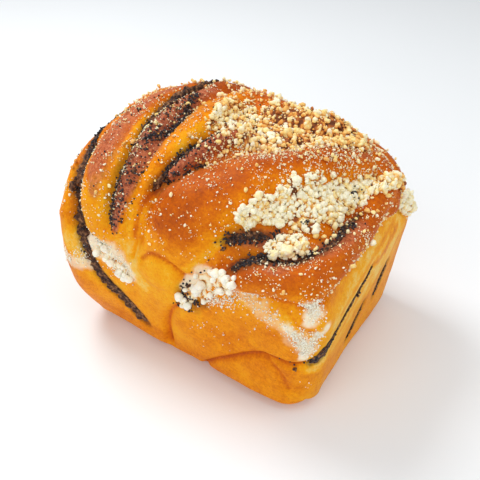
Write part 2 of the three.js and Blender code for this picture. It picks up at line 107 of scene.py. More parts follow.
# Seams: line, depth and half width
SEAMS = [
    ([(-17, -61, 68), (-12, -61, 73), (-7, -62, 75), (0, -62, 73), (6, -61, 67)], 2.6, 1.5),
    ([(3, -59, 47), (-4, -58, 39), (-9, -57, 25), (-10, -55, 10)], 3.4, 2.2),
    ([(13, -55, 7), (23, -56, 17), (33, -57, 25), (46, -58, 34), (55, -58, 36), (71, -54, 38)], 2.8, 1.6),
    ([(50, -58, 34), (58, -57, 28), (62, -56, 18)], 1.4, 2.2),
    ([(-57, -61, 70), (-50, -61, 68), (-43, -61, 64)], 2.6, 1.8),
    ([(12, -61, 60), (26, -61, 69), (50, -62, 71), (72, -58, 72)], 1.6, 3.0),
    ([(-15, -51, 104), (-18, -55, 98), (-21, -60, 90), (-23, -62, 76), (-25, -61, 64)], 2.2, 1.5),
    ([(-60, -36, 108), (-57, -46, 104), (-51, -55, 98), (-44, -60, 90)], 1.0, 1.6),
    ([(-46, -14, 121), (-44, -31, 117), (-42, -44, 110), (-41, -54, 101)], 0.8, 1.8),
    ([(59, -61, 68), (64, -61, 65), (69, -59, 61), (74, -55, 58)], 1.4, 1.1),
]

# Round swells and hollows: middle, reach and height
SWELLS = [
    ((-74, -40, 32), 34, 5.0), ((-74, -56, 48), 18, 2.0), ((-74, -58, 2), 26, -7.0),
    ((-42, -58, 0), 26, -2.5), ((53, -57, 7), 24, 3.6), ((-8, -62, 56), 18, 2.0),
    ((10, -58, 30), 22, 2.4), ((48, -45, 102), 15, -5.0), ((66, -8, 100), 20, -5.0),
    ((10, 2, 121), 16, -3.0), ((-34, 20, 124), 20, -3.0), ((78, 44, 84), 12, -4.0),
    ((76, 0, 22), 26, -1.5), ((-20, -61, 84), 12, -2.0), ((-46, 38, 117), 16, -3.6),
    ((-33, 24, 122), 9, 3.0), ((-64, -56, 22), 18, 3.2), ((-74, -56, 77), 11, -1.6),
    ((72, -36, 2), 15, -1.5), ((32, 34, 112), 14, 2.6),
]

# Filling: line, depth and groove as in the part, half widths and height of the ragged edge that shows,
# and the reach of the dark film beside it
STRIP_RISE = 0.85
Filling = namedtuple("Filling", "line half depth groove smear stand", defaults=((STRIP_RISE, STRIP_RISE),))
FILLINGS = {
    "filling_left": Filling(
        [(-49, 12, 121), (-62, -4, 115), (-70, -24, 105), (-67, -44, 98), (-61, -59, 86), (-58, -62, 72),
         (-54, -60, 58), (-45, -58, 40), (-25, -56, 16)],
        half=(0.7, 1.0, 1.5, 1.8, 2.7, 2.6, 2.0, 2.7, 3.4), depth=24, groove=2.0, smear=1.3,
        stand=(0.8, 0.8, 0.8, 1.4, 3.0, 2.6, 1.0, 0.8, 0.8)),
    "filling_ridge": Filling(
        [(-33, 38, 118), (-33, 21, 123), (-34, 4, 124), (-37, -12, 122), (-38, -30, 118), (-35, -48, 108),
         (-35, -61, 81)], half=(2.0, 3.2, 3.6, 1.4, 0.8, 0.7, 0.6), depth=20, groove=1.5, smear=1.0,
        stand=(2.0, 2.8, 4.0, 1.4, 0.5, 0.5, 0.5)),
    "filling_fold": Filling(
        [(0, -10, 121), (-6, -20, 120), (-10, -34, 115), (-13, -44, 110), (-17, -53, 103)],
        half=(1.2, 1.5, 1.2, 1.0, 1.0), depth=14, groove=1.6, smear=1.2),
    "filling_pocket": Filling(
        [(25, -58, 91), (33, -54, 97), (43, -48, 100)], half=(1.6, 2.6, 1.6), depth=9, groove=1.0,
        smear=1.8),
    "filling_crevice": Filling(
        [(31, -61, 80), (38, -60, 86), (47, -57, 90), (60, -49, 92), (69, -33, 93), (72, -2, 93)],
        half=(1.6, 1.9, 1.4, 1.0, 0.9, 0.8), depth=20, groove=3.0, smear=1.2),
    "filling_end_upper": Filling(
        [(75, 28, 43), (74, 24, 35), (73, 21, 25)], half=(0.8, 1.3, 0.9), depth=16, groove=0.8, smear=2.4),
    "filling_end_long": Filling(
        [(77, 0, 60), (76, -12, 55), (76, -28, 50), (75, -41, 45), (71, -53, 37)],
        half=(0.7, 1.2, 1.0, 2.4, 3.2), depth=22, groove=1.0, smear=0.9),
    "filling_end_low": Filling(
        [(74, 6, 29), (73, -2, 22), (72, -9, 16)], half=(0.8, 1.4, 1.0), depth=16, groove=0.8, smear=2.2),
}

# Streusel heaps: spine, half widths and bed as in the part, then how many crumbs of which radii lie on
# it, how much they are toasted, how round they are, and single lumps with their radii
CRAGGY = 0.42
ROUND = 0.74
Heap = namedtuple("Heap", "spine half bed crumbs size toast end_toast core lumps", defaults=(0, CRAGGY, ()))
HEAPS = {
    "streusel_crest": Heap(
        [(-13, -3, 122), (0, 2, 121), (16, 9, 118), (36, 21, 113), (56, 28, 107)],
        half=(9, 18, 18, 13, 4), bed=1.8, crumbs=1150, size=(0.6, 2.3), toast=0.48, end_toast=0.4,
        lumps=[((23, 8, 118), 3.4), ((26, 13, 117), 3.2), ((28, 18, 117), 2.6)]),
    "streusel_crevice": Heap(
        [(29, -50, 101), (40, -37, 106), (51, -27, 106), (60, -13, 104), (65, 2, 102), (69, 18, 97),
         (74, 34, 89)], half=(3, 5.5, 11.5, 10.5, 6.5, 4, 2.5), bed=2.4, crumbs=1150, size=(0.6, 2.4),
        toast=0.14, end_toast=0.5),
    "streusel_near": Heap(
        [(45, -54, 94), (53, -48, 97), (61, -40, 98)], half=(2.5, 5.5, 5), bed=2.2, crumbs=120,
        size=(0.7, 2.2), toast=0.22, lumps=[((54, -49, 95), 3.9), ((49, -53, 93), 2.6),
                                            ((58, -45, 97), 2.6)]),
    "streusel_front": Heap(
        [(3, -59, 49), (12, -60, 59), (20, -61, 68), (29, -62, 75), (37, -61, 79)], half=(2, 5, 6, 5, 2),
        bed=0.5, crumbs=30, size=(1.7, 3.0), toast=-0.1, core=ROUND),
    "streusel_left": Heap(
        [(-47, -61, 66), (-41, -60, 60), (-35, -60, 55), (-30, -59, 47)], half=(2, 4, 4.5, 2), bed=0.5,
        crumbs=14, size=(1.5, 2.8), toast=-0.1, core=ROUND, lumps=[((-36, -60, 50), 3.2)]),
    "streusel_end": Heap(
        [(77, 34, 82), (78, 41, 76), (78, 47, 68)], half=(3.5, 6.5, 5), bed=4.0, crumbs=120,
        size=(0.8, 2.8), toast=0.15, lumps=[((78, 39, 80), 3.8), ((78, 44, 75), 3.6),
                                            ((78, 47, 69), 2.8)]),
}

WALL_BAKE = 0.38  # how brown the sides are, which the tin has kept pale
DEEP_SEAM = 2.6  # seams of this depth or more get the full painted shade in their bottom

# Strokes painted along lines on the loaf: half width, then tone or strength, and how soft and how
# ragged the edge is. A later tone covers an earlier one. Stains are the film that the filling leaves on
# the crust and, in one stroke, a painted sheen on the broad strand's upper ridge; smears are its dark
# grit, and pale strokes torn dough and flour.
Stroke = namedtuple("Stroke", "line half value soft ragged", defaults=(0.45, 0.3))
TONES = [
    Stroke([(10, -60, 48), (30, -58, 36), (54, -58, 40), (66, -57, 30)], 20, 0.46, 0.6),
    Stroke([(-66, -57, 44), (-52, -56, 16), (-16, -55, 10), (6, -55, 8)], 9, 0.47, 0.7),
    Stroke([(77, 34, 60), (77, 0, 56), (76, -34, 50), (73, -50, 38)], (14, 19, 17, 8), 0.22, 0.4),
    Stroke([(77, 52, 70), (75, 50, 40), (72, 44, 12)], 11, 0.42, 0.7),
    Stroke([(76, -49, 68), (75, -48, 56), (73, -51, 42)], 3.5, 0.36, 0.7),
    Stroke([(77, 30, 66), (77, 12, 60), (77, -4, 60), (76, -22, 52)], 2.4, 0.44, ragged=1.2),
    Stroke([(76, 34, 56), (75, 28, 44), (73, 20, 22)], 2.2, 0.42, ragged=1.0),
    Stroke([(78, 30, 70), (78, 6, 67), (77, -16, 63), (76, -36, 58)], 1.6, 0.4, ragged=1.2),
    Stroke([(77, 4, 52), (76, -18, 46), (74, -38, 38)], 1.8, 0.34, ragged=1.2),
    Stroke([(76, 20, 46), (74, 8, 32), (72, -10, 13)], 2.2, 0.42, ragged=1.0),
    Stroke([(70, -50, 10), (72, -32, 11), (72, 10, 12), (70, 40, 10)], 8, 0.38, 0.7),
    Stroke([(-70, -50, 92), (-67, -60, 76), (-64, -61, 60)], 7, 0.42, 0.7),
    Stroke([(-64, -61, 62), (-58, -60, 55)], 6, 0.22, 0.7),
    Stroke([(-33, 2, 124), (-36, -20, 120), (-38, -38, 115), (-39, -50, 106), (-40, -58, 94),
            (-40, -62, 76)], (4, 5, 5, 5, 5, 5), 0.36, 0.5),
    Stroke([(-48, -58, 95), (-48, -61, 82), (-44, -62, 74)], 7, 0.36, 0.6),
    Stroke([(-17, -20, 121), (-18, -34, 116), (-20, -48, 107), (-23, -58, 93)], 6, 0.45, 0.6),
    Stroke([(-10, -4, 122), (-11, -18, 120), (-13, -34, 115)], 3.5, 0.33, 0.6),
    Stroke([(-22, -59, 90), (-27, -62, 78), (-31, -62, 70)], 5, 0.3, 0.7),
    Stroke([(-14, -61, 82), (-4, -61, 78), (6, -61, 78), (14, -61, 82), (22, -58, 90), (28, -52, 99)],
           (6, 7, 7, 6, 5, 4), 0.42, 0.8),
    Stroke([(6, -62, 70), (13, -62, 76), (19, -61, 84), (24, -57, 92)], (2.4, 2.0, 1.6, 1.2), 0.27, 0.8),
    Stroke([(-16, -61, 66), (-5, -60, 66), (2, -60, 56), (-2, -59, 44)], 9, 0.34, 0.7),
    Stroke([(-24, -61, 70), (-24, -60, 58), (-20, -59, 50)], 4, 0.2, 0.8),
    Stroke([(26, -49, 102), (33, -36, 108), (46, -14, 110)], 5, 0.48, 0.8),
    Stroke([(46, -62, 76), (58, -61, 74), (70, -57, 75), (78, -45, 75)], 5, 0.5, 0.8),
    Stroke([(40, -61, 66), (53, -61, 66), (66, -60, 63), (73, -54, 60)], (4, 5, 6, 5), 0.3, 0.6),
    Stroke([(56, -61, 70), (63, -61, 68), (68, -60, 65), (72, -57, 61)], (2, 2.4, 2.4, 2), 0.42),
]
STAINS_AND_SHEEN = [
    Stroke([(-44, 8, 122), (-49, -13, 121), (-52, -31, 115), (-50, -45, 108), (-48, -53, 102),
            (-46, -58, 95)], (4, 6, 7, 7, 5.5, 3), 0.66, 0.5),
    Stroke([(-29, 12, 124), (-29, -13, 123), (-28, -29, 119), (-28, -42, 112), (-30, -54, 101),
            (-32, -60, 87), (-31, -61, 80)], (6, 7, 6.5, 6, 5.5, 3.5, 1.5), 0.9, 0.3, ragged=0.4),
    Stroke([(-17, 8, 123), (-21, -6, 123), (-21, -20, 121)], 4, 0.3, 0.8),
    Stroke([(3, -10, 120), (-3, -24, 118), (-7, -36, 114), (-10, -45, 109)], (5, 5, 4, 2.5), 0.85, 0.5),
    # painted sheen: this pinkish stroke along the broad strand's upper ridge
    Stroke([(-12, -51, 103), (-5, -42, 110), (3, -29, 116), (19, -23, 115), (32, -8, 115)],
           (3, 5, 5, 5, 5), 0.34, 0.8),
    Stroke([(27, -56, 94), (34, -54, 96), (42, -51, 98), (48, -45, 100)], (2, 4, 4.5, 4), 0.8, 0.7),
    Stroke([(45, -58, 90), (53, -57, 90), (62, -48, 94), (70, -32, 93), (74, -10, 91)],
           (2.5, 3.5, 3, 3.5, 3), 0.7, 0.7),
    Stroke([(40, 30, 112), (50, 30, 108), (57, 22, 107)], 4, 0.5, 0.8),
]
SMEARS = [
    Stroke([(-33, -2, 124), (-34, -24, 120), (-34, -42, 113), (-34, -54, 102), (-34, -61, 84)],
           (2.5, 3.5, 4.5, 4.5, 3), 1.0, 0.8, ragged=0.5),
    Stroke([(-27, 2, 124), (-24, -16, 122), (-27, -34, 117)], 3, 0.6, 0.7, ragged=0.5),
    Stroke([(9, -60, 62), (6, -59, 55), (9, -60, 50), (17, -60, 55)], 3.5, 0.8, 0.7, ragged=0.5),
    Stroke([(28, -57, 92), (36, -56, 92), (46, -52, 96)], 4, 0.5, 0.7, ragged=0.5),
]
PALE = [
    Stroke([(-50, -61, 64), (-42, -61, 62), (-34, -60, 58), (-29, -60, 52)], (5, 7, 7, 4), 0.95),
    Stroke([(-66, -57, 48), (-56, -60, 50)], 4, 0.6, ragged=0.6),
    Stroke([(8, -61, 62), (18, -61, 70), (30, -62, 72)], (3, 4.5, 3.5), 0.9, ragged=0.6),
    Stroke([(70, -59, 74), (74, -56, 71), (71, -58, 67)], 3.4, 1.0, ragged=0.8),
    Stroke([(61, -60, 60), (67, -58, 55), (69, -56, 48), (68, -56, 43)], (2.0, 4, 4, 2), 1.0, ragged=0.8),
    Stroke([(76, -50, 60), (73, -54, 57), (69, -57, 52)], 2.2, 0.9, ragged=0.8),
    Stroke([(36, -61, 70), (48, -61, 64), (60, -60, 58), (68, -57, 47)], 3.5, 0.32, ragged=1.2),
]


# ---------- shape of the dough
def field(p):
    """Below zero inside the plain loaf, about millimetres outside."""
    x, y, z = p[..., 0], p[..., 1], p[..., 2]
    crown = CROWN + CROWN_TILT_X * x + CROWN_TILT_Y * y
    up = np.clip((z - RIM_Z) / crown, 0, 1)
    low_z = np.clip(z, 0, RIM_Z)
    inward = (RIM_Z - low_z) * TAPER
    corner = CORNER_FOOT + (CORNER_RIM - CORNER_FOOT) * low_z / RIM_Z + (CORNER_TOP - CORNER_RIM) * up
    qx = np.abs(x) - (RIM_X - inward - corner)
    qy = np.abs(y) - (RIM_Y - inward - corner)
    plan = np.hypot(np.maximum(qx, 0), np.maximum(qy, 0)) + np.minimum(np.maximum(qx, qy), 0) - corner
    dome = RIM_Y * (1 - np.maximum(1 - up ** DOME_POWER, 0) ** (1 / DOME_POWER))
    low = FOOT_ROUND - np.clip(z, 0, FOOT_ROUND)
    foot = FOOT_ROUND - np.sqrt(FOOT_ROUND ** 2 - low ** 2)
    above = 2 * np.maximum(z - RIM_Z - crown, 0)
    return plan + dome + foot + above


def unit(v):
    return v / np.maximum(np.linalg.norm(v, axis=-1, keepdims=True), 1e-12)


def heart_of(p):
    return HEART + (p - HEART) * HEART_SPREAD


def snap(p):
    """The plain loaf's surface on the ray through p."""
    p = np.asarray(p, float)
    start = heart_of(p)
    way = unit(p - start)
    lo = np.zeros(p.shape[:-1])
    hi = np.full(p.shape[:-1], FURTHEST)
    for _ in range(26):
        mid = (lo + hi) / 2
        probe = start + way * mid[..., None]
        inside = (probe[..., 2] > 0) & (field(probe) < 0)
        lo = np.where(inside, mid, lo)
        hi = np.where(inside, hi, mid)
    return start + way * lo[..., None]


def normal_at(p):
    slope = [field(p + axis) - field(p - axis) for axis in np.eye(3)]
    return unit(np.stack(slope, axis=-1))


def smooth_line(points, pieces):
    """A Catmull-Rom line through the control points."""
    knots = np.array(points, float)
    ends = np.vstack([2 * knots[0] - knots[1], knots, 2 * knots[-1] - knots[-2]])
    at = np.linspace(0, len(knots) - 1, pieces + 1)
    i = np.minimum(at.astype(int), len(knots) - 2)
    t = (at - i)[:, None]
    a, b, c, d = ends[i], ends[i + 1], ends[i + 2], ends[i + 3]
    return 0.5 * (2 * b + (c - a) * t + (2 * a - 5 * b + 4 * c - d) * t ** 2
                  + (3 * b - a - 3 * c + d) * t ** 3)


def lay(points, pieces=24):
    return snap(smooth_line(points, pieces))


def nearest(p, line, reach=None):
    """Distance to a line and place along it from 0 to 1. Points past the reach may be infinitely far."""
    away = np.full(len(p), np.inf)
    along = np.zeros(len(p))
    close = np.ones(len(p), bool)
    if reach is not None:
        close = np.all((p > line.min(axis=0) - reach) & (p < line.max(axis=0) + reach), axis=1)
    q = p[close]
    best = np.full(len(q), np.inf)
    place = np.zeros(len(q))
    for i in range(len(line) - 1):
        run = line[i + 1] - line[i]
        off = q - line[i]
        t = np.clip(off @ run / (run @ run), 0, 1)
        gap = off - t[:, None] * run
        square = np.einsum("ij,ij->i", gap, gap)
        nearer = square < best
        best = np.where(nearer, square, best)
        place = np.where(nearer, (i + t) / (len(line) - 1), place)
    away[close] = np.sqrt(best)
    along[close] = place
    return away, along


def between(values, along):
    return np.interp(along, np.linspace(0, 1, len(values)), values)


def near(away, reach):
    """1 at no distance, falling softly to almost nothing at twice the reach."""
    return np.exp(-(away / reach) ** 2)


def read_off(rows, along):
    """Points or directions at places along a line that holds one of them in each row."""
    steps = np.linspace(0, 1, len(rows))
    return np.stack([np.interp(along, steps, rows[:, c]) for c in range(3)], axis=-1)


def length_of(line):
    return np.linalg.norm(np.diff(line, axis=0), axis=1).sum()


def smoothstep(v, lo, hi):
    t = np.clip((v - lo) / (hi - lo), 0, 1)
    return t * t * (3 - 2 * t)


STRAND_LINES = [lay(s.spine) for s in STRANDS]
SEAM_LINES = [lay(line, 16) for line, _, _ in SEAMS]
FILLING_LINES = {name: lay(f.line, 32) for name, f in FILLINGS.items()}


def strand_level(p, s, line):
    """How high a strand stands at each point, over the bottom of the valleys beside it."""
    away, along = nearest(p, line, max(s.half) + 8)
    u = away / between(s.half, along)
    return np.maximum(1 - np.minimum(u, 1) ** 2.4, 0) ** 0.7


def relief(p):
    """Height of the dough over the plain loaf."""
    top = smoothstep(p[:, 2], RIM_Z - 14, RIM_Z + 6)
    height = -VALLEY * top
    for s, line in zip(STRANDS, STRAND_LINES):
        height = np.maximum(height, -VALLEY * top + (s.rise + VALLEY * top) * strand_level(p, s, line))
    for (_, depth, half), line in zip(SEAMS, SEAM_LINES):
        height = height - depth * near(nearest(p, line, 4 * half)[0], half)
    for name, f in FILLINGS.items():
        away = nearest(p, FILLING_LINES[name], 4 * GROOVE_REACH)[0]
        height = height - f.groove * near(away, GROOVE_REACH)
    for at, reach, rise in SWELLS:
        height = height + rise * near(np.linalg.norm(p - np.array(at), axis=1), reach)
    x, y, z = p.T
    return height + 0.7 * np.sin(x / 9 + 1.3) * np.sin(y / 8 - 0.4) * np.sin(z / 11 + 0.8)


def surface(p, extra=0.0):
    """The dough's surface over points of the plain loaf."""
    normal = normal_at(p)
    height = relief(p) / 5
    for turn in range(4):
        side = np.array([math.cos(turn * math.pi / 2), math.sin(turn * math.pi / 2), 0.3])
        side = unit(side - normal * (normal @ side)[:, None]) * SOFTEN
        height = height + relief(p + side) / 5
    q = p + normal * (height + extra)[:, None]
    q[:, 2] = np.maximum(q[:, 2], 0)
    return q


# ---------- small tools
def noise_at(p, size, seed):
    """Smooth noise, about -1 to 1, with features of the given size in mm."""
    shift = Vector((seed * 17.3, seed * 5.1, seed * 9.7))
    return np.array([noise.noise(Vector(v) + shift) for v in (np.asarray(p) / size)])


def cobble(p, size, seed):
    """Round bumps of the given size side by side: 1 on top of each, 0 between them."""
    shift = Vector((seed * 7.7, seed * 3.1, seed * 5.3))
    away = [noise.voronoi(Vector(v) + shift)[0][0] for v in (np.asarray(p) / size)]
    return np.clip(1 - (np.array(away) / 0.75) ** 2, 0, 1)


def add_mesh(name, points, faces, material, smooth=True):
    """A mesh object in the scene, from points in mm; faces may be one array or a list of arrays."""
    arrays = faces if isinstance(faces, list) else [faces]
    mesh = bpy.data.meshes.new(name)
    mesh.vertices.add(len(points))
    mesh.vertices.foreach_set("co", (np.asarray(points, float) * MM).astype(np.float32).ravel())
    sizes = np.concatenate([np.full(len(a), a.shape[1]) for a in arrays])
    corners = np.concatenate([a.ravel() for a in arrays])
    mesh.loops.add(len(corners))
    mesh.loops.foreach_set("vertex_index", corners.astype(np.int32))
    mesh.polygons.add(len(sizes))
    starts = np.concatenate([[0], np.cumsum(sizes)[:-1]])
    mesh.polygons.foreach_set("loop_start", starts.astype(np.int32))
    mesh.polygons.foreach_set("loop_total", sizes.astype(np.int32))
    mesh.update(calc_edges=True)
    mesh.validate()
    mesh.polygons.foreach_set("use_smooth", np.full(len(mesh.polygons), smooth))
    mesh.materials.append(material)
    obj = bpy.data.objects.new(name, mesh)
    bpy.context.scene.collection.objects.link(obj)
    return obj


def add_attribute(obj, name, values):
    layer = obj.data.attributes.new(name, "FLOAT", "POINT")
    layer.data.foreach_set("value", np.asarray(values, np.float32))


# ---------- dough
def box_rise(k):
    """Height on the box of row k: rows lie closer together at the foot."""
    t = k / STEPS_Z
    return BOX_TOP * (0.55 * t + 0.45 * t * t)


def footing(x, y):
    """The edge of the flat base, on the ray through x, y."""
    share = np.full(len(x), 0.2)
    step = 0.5
    while step > 0.0001:
        trial = np.stack([x * (share + step), y * (share + step), np.full(len(x), 0.001)], axis=1)
        share = share + np.where(field(trial) < -0.05, step, 0)
        step /= 2
    return np.stack([x * share, y * share, np.zeros(len(x))], axis=1)


def dough_mesh():
    """Plain-loaf points and faces of the dough's skin."""
    ring = [(i, 0) for i in range(STEPS_X)]
    ring += [(STEPS_X, j) for j in range(STEPS_Y)]
    ring += [(i, STEPS_Y) for i in range(STEPS_X, 0, -1)]
    ring += [(0, j) for j in range(STEPS_Y, 0, -1)]
    ring = np.array(ring)
    count = len(ring)
    x = RIM_X * (2 * ring[:, 0] / STEPS_X - 1)
    y = RIM_Y * (2 * ring[:, 1] / STEPS_Y - 1)
    rows = [footing(x, y)]
    for k in range(1, STEPS_Z + 1):
        rows.append(snap(np.stack([x, y, np.full(count, box_rise(k))], axis=1)))
    i, j = np.meshgrid(np.arange(1, STEPS_X), np.arange(1, STEPS_Y), indexing="ij")
    inner = np.stack([RIM_X * (2 * i / STEPS_X - 1), RIM_Y * (2 * j / STEPS_Y - 1),
                      np.full(i.shape, BOX_TOP)], axis=-1).reshape(-1, 3)
    hub = np.zeros((1, 3))
    plain = np.vstack(rows + [snap(inner), hub])

    at = np.arange(count)
    after = (at + 1) % count
    sides = [np.stack([k * count + at, k * count + after, (k + 1) * count + after,
                       (k + 1) * count + at], axis=1) for k in range(STEPS_Z)]
    grid = np.zeros((STEPS_X + 1, STEPS_Y + 1), int)
    grid[ring[:, 0], ring[:, 1]] = STEPS_Z * count + at
    grid[1:-1, 1:-1] = (STEPS_Z + 1) * count + np.arange(inner.shape[0]).reshape(i.shape)
    top = np.stack([grid[:-1, :-1], grid[1:, :-1], grid[1:, 1:], grid[:-1, 1:]], axis=-1).reshape(-1, 4)
    base = np.stack([np.full(count, len(plain) - 1), after, at], axis=1)
    return plain, [np.vstack(sides + [top]), base], count


def soften(values, faces, turns):
    """Averages a value at each vertex with its neighbours along the edges."""
    a = np.concatenate([f[:, c] for f in faces for c in range(f.shape[1])])
    b = np.concatenate([f[:, (c + 1) % f.shape[1]] for f in faces for c in range(f.shape[1])])
    count = np.bincount(a, minlength=len(values)) + np.bincount(b, minlength=len(values))
    for _ in range(turns):
        total = np.bincount(a, values[b], len(values)) + np.bincount(b, values[a], len(values))
        values = 0.5 * values + 0.5 * total / count
    return values


FINE = 1.9  # sizes of the crust's unevenness in mm
MIDDLE = 4.5
COARSE = 10.0
OPEN_BAKE = 0.62  # crust between the strands
# painted shade: the crust is darkened along the bottoms of the seams
CREASE_SHADE = 0.24
EDGE = 0.8  # share of a strand's half width at which its edge tones are reached


def strand_tone(p, normal):
    """How brown the strand that shows at each point is, and how near the point is to its crest."""
    best = np.zeros(len(p))
    bake = np.full(len(p), OPEN_BAKE)
    crest = np.zeros(len(p))
    for s, line in zip(STRANDS, STRAND_LINES):
        arch = strand_level(p, s, line)
        level = arch * (s.rise + VALLEY)
        wins = level > best
        q = p[wins]
        away, along = nearest(q, line)
        ahead = read_off(unit(np.gradient(line, axis=0)), along)
        side = np.sign(np.einsum("ij,ij->i", np.cross(ahead, normal[wins]), q - read_off(line, along)))
        v = side * away / between(s.half, along)
        best[wins] = level[wins]
        bake[wins] = np.interp(v, (-EDGE, 0.0, EDGE), s.bake)
        crest[wins] = arch[wins]
    return bake, crest


def stroke_weight(p, stroke, ragged):
    """How far a painted stroke covers each point, from 0 to 1, with a ragged edge."""
    line = lay(stroke.line, 6 * (len(stroke.line) - 1))
    half = np.atleast_1d(stroke.half)
    away, along = nearest(p, line, half.max() * 2.5)
    u = away / between(half, along) + ragged * stroke.ragged
    return 1 - smoothstep(u, 1 - stroke.soft, 1 + stroke.soft)


def paint(p, strokes, ragged):
    total = np.zeros(len(p))
    for stroke in strokes:
        total = np.maximum(total, stroke.value * stroke_weight(p, stroke, ragged))
    return total


def seam_shade_mask(p):
    """How much painted shade each point gets near the bottom of a seam, more for deep seams."""
    total = np.zeros(len(p))
    for (_, depth, _), line in zip(SEAMS, SEAM_LINES):
        total = np.maximum(total, min(depth / DEEP_SEAM, 1.0) * near(nearest(p, line, 5.0)[0], 1.0))
    return total


def make_dough():
    """The loaf itself, with the browning and painted shade in the seams, the stains and a painted sheen,
    grit and pale places as values at its points.
    """
    plain, faces, ring_count = dough_mesh()
    normal = normal_at(plain)
    height = soften(relief(plain), faces, 2)
    fine = noise_at(plain, FINE, 1)
    middle = noise_at(plain, MIDDLE, 6)
    coarse = noise_at(plain, COARSE, 2)
    stain_and_sheen = paint(plain, STAINS_AND_SHEEN, middle)
    pale = paint(plain, PALE, middle + 0.6 * fine)
    seedy = paint(plain, SMEARS, middle)
    for name, f in FILLINGS.items():
        away, along = nearest(plain, FILLING_LINES[name], 4 * f.smear + max(f.half))
        wide = between(f.half, along) * end_taper(along, FILLING_LINES[name])
        edge = np.maximum(away - wide, 0) / f.smear
        seedy = np.maximum(seedy, np.exp(-(edge * (1 + 0.5 * middle)) ** 2))

    lift = (0.07 + 0.5 * pale + 0.3 * seedy) * fine + 0.3 * coarse
    above = np.clip(plain[:, 2] / 4, 0, 1)
    points = plain + normal * (height + lift * above)[:, None]
    points[:, 2] = np.maximum(points[:, 2], 0)
    flat = unit(normal[:ring_count] * (1, 1, 0))
    points[:ring_count] = plain[:ring_count] + flat * height[:ring_count, None]
    points[:ring_count, 2] = 0
    points[-1] = 0

    z = plain[:, 2]
    tone, crest = strand_tone(plain, normal)
    on_top = smoothstep(z, RIM_Z - 6, RIM_Z + 6)
    wall = WALL_BAKE + 0.12 * smoothstep(22 - z, 0, 22)
    bake = wall * (1 - on_top) + (tone - 0.1 * (1 - crest)) * on_top
    for stroke in TONES:
        weight = stroke_weight(plain, stroke, middle)
        bake = bake * (1 - weight) + stroke.value * weight
    # painted shade: the crust darkens along the bottoms of the seams
    bake = bake + 0.03 * coarse + 0.04 * middle + CREASE_SHADE * seam_shade_mask(plain)

    obj = add_mesh("loaf", points, faces, dough_material())
    for name, values in (("bake", bake), ("stain_and_sheen", stain_and_sheen), ("seedy", seedy), ("pale", pale)):
        add_attribute(obj, name, values)
    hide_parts("dough")
    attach(obj, "root")
    return obj


# ---------- materials
def srgb(r, g, b):
    """Linear colour from 0-255 display values."""
    out = []
    for c in (r, g, b):
        c = c / 255
        out.append(c / 12.92 if c <= 0.04045 else ((c + 0.055) / 1.055) ** 2.4)
    return (*out, 1.0)


class Nodes:
    """Shorthand for building a material's node tree."""

    def __init__(self, name):
        self.material = bpy.data.materials.new(name)
        self.material.use_nodes = True
        self.tree = self.material.node_tree
        self.shader = self.tree.nodes["Principled BSDF"]

    def node(self, kind, **inputs):
        made = self.tree.nodes.new(kind)
        for key, value in inputs.items():
            self.plug(made.inputs[key], value)
        return made

    def plug(self, socket, value):
        if isinstance(value, bpy.types.NodeSocket):
            self.tree.links.new(value, socket)
        else:
            socket.default_value = value

    def attribute(self, name):
        made = self.tree.nodes.new("ShaderNodeAttribute")
        made.attribute_name = name
        return made.outputs["Fac"]

    def noise(self, scale, detail, roughness=0.6):
        place = self.tree.nodes.new("ShaderNodeTexCoord").outputs["Object"]
        made = self.node("ShaderNodeTexNoise", Scale=scale, Detail=detail, Roughness=roughness,
                         Vector=place)
        return made.outputs["Fac"]

    def math(self, operation, a, b, clamp=False):
        made = self.tree.nodes.new("ShaderNodeMath")
        made.operation = operation
        made.use_clamp = clamp
        self.plug(made.inputs[0], a)
        self.plug(made.inputs[1], b)
        return made.outputs[0]

    def mix(self, share, a, b):
        made = self.tree.nodes.new("ShaderNodeMix")
        made.data_type = "RGBA"
        self.plug(made.inputs["Factor"], share)
        self.plug(made.inputs["A"], a)
        self.plug(made.inputs["B"], b)
        return made.outputs["Result"]

    def ramp(self, share, stops):
        made = self.tree.nodes.new("ShaderNodeValToRGB")
        elements = made.color_ramp.elements
        while len(elements) < len(stops):
            elements.new(0.5)
        for element, (position, colour) in zip(elements, stops):
            element.position = position
            element.color = colour
        self.plug(made.inputs["Fac"], share)
        return made.outputs["Color"]

    def bump(self, height, strength, distance):
        made = self.node("ShaderNodeBump", Strength=strength, Distance=distance, Height=height)
        return made.outputs["Normal"]

    def shade(self, **inputs):
        """Sets the shader's own sockets, to a value or to another node's output."""
        for key, value in inputs.items():
            self.plug(self.shader.inputs[key.replace("_", " ")], value)
        return self.material


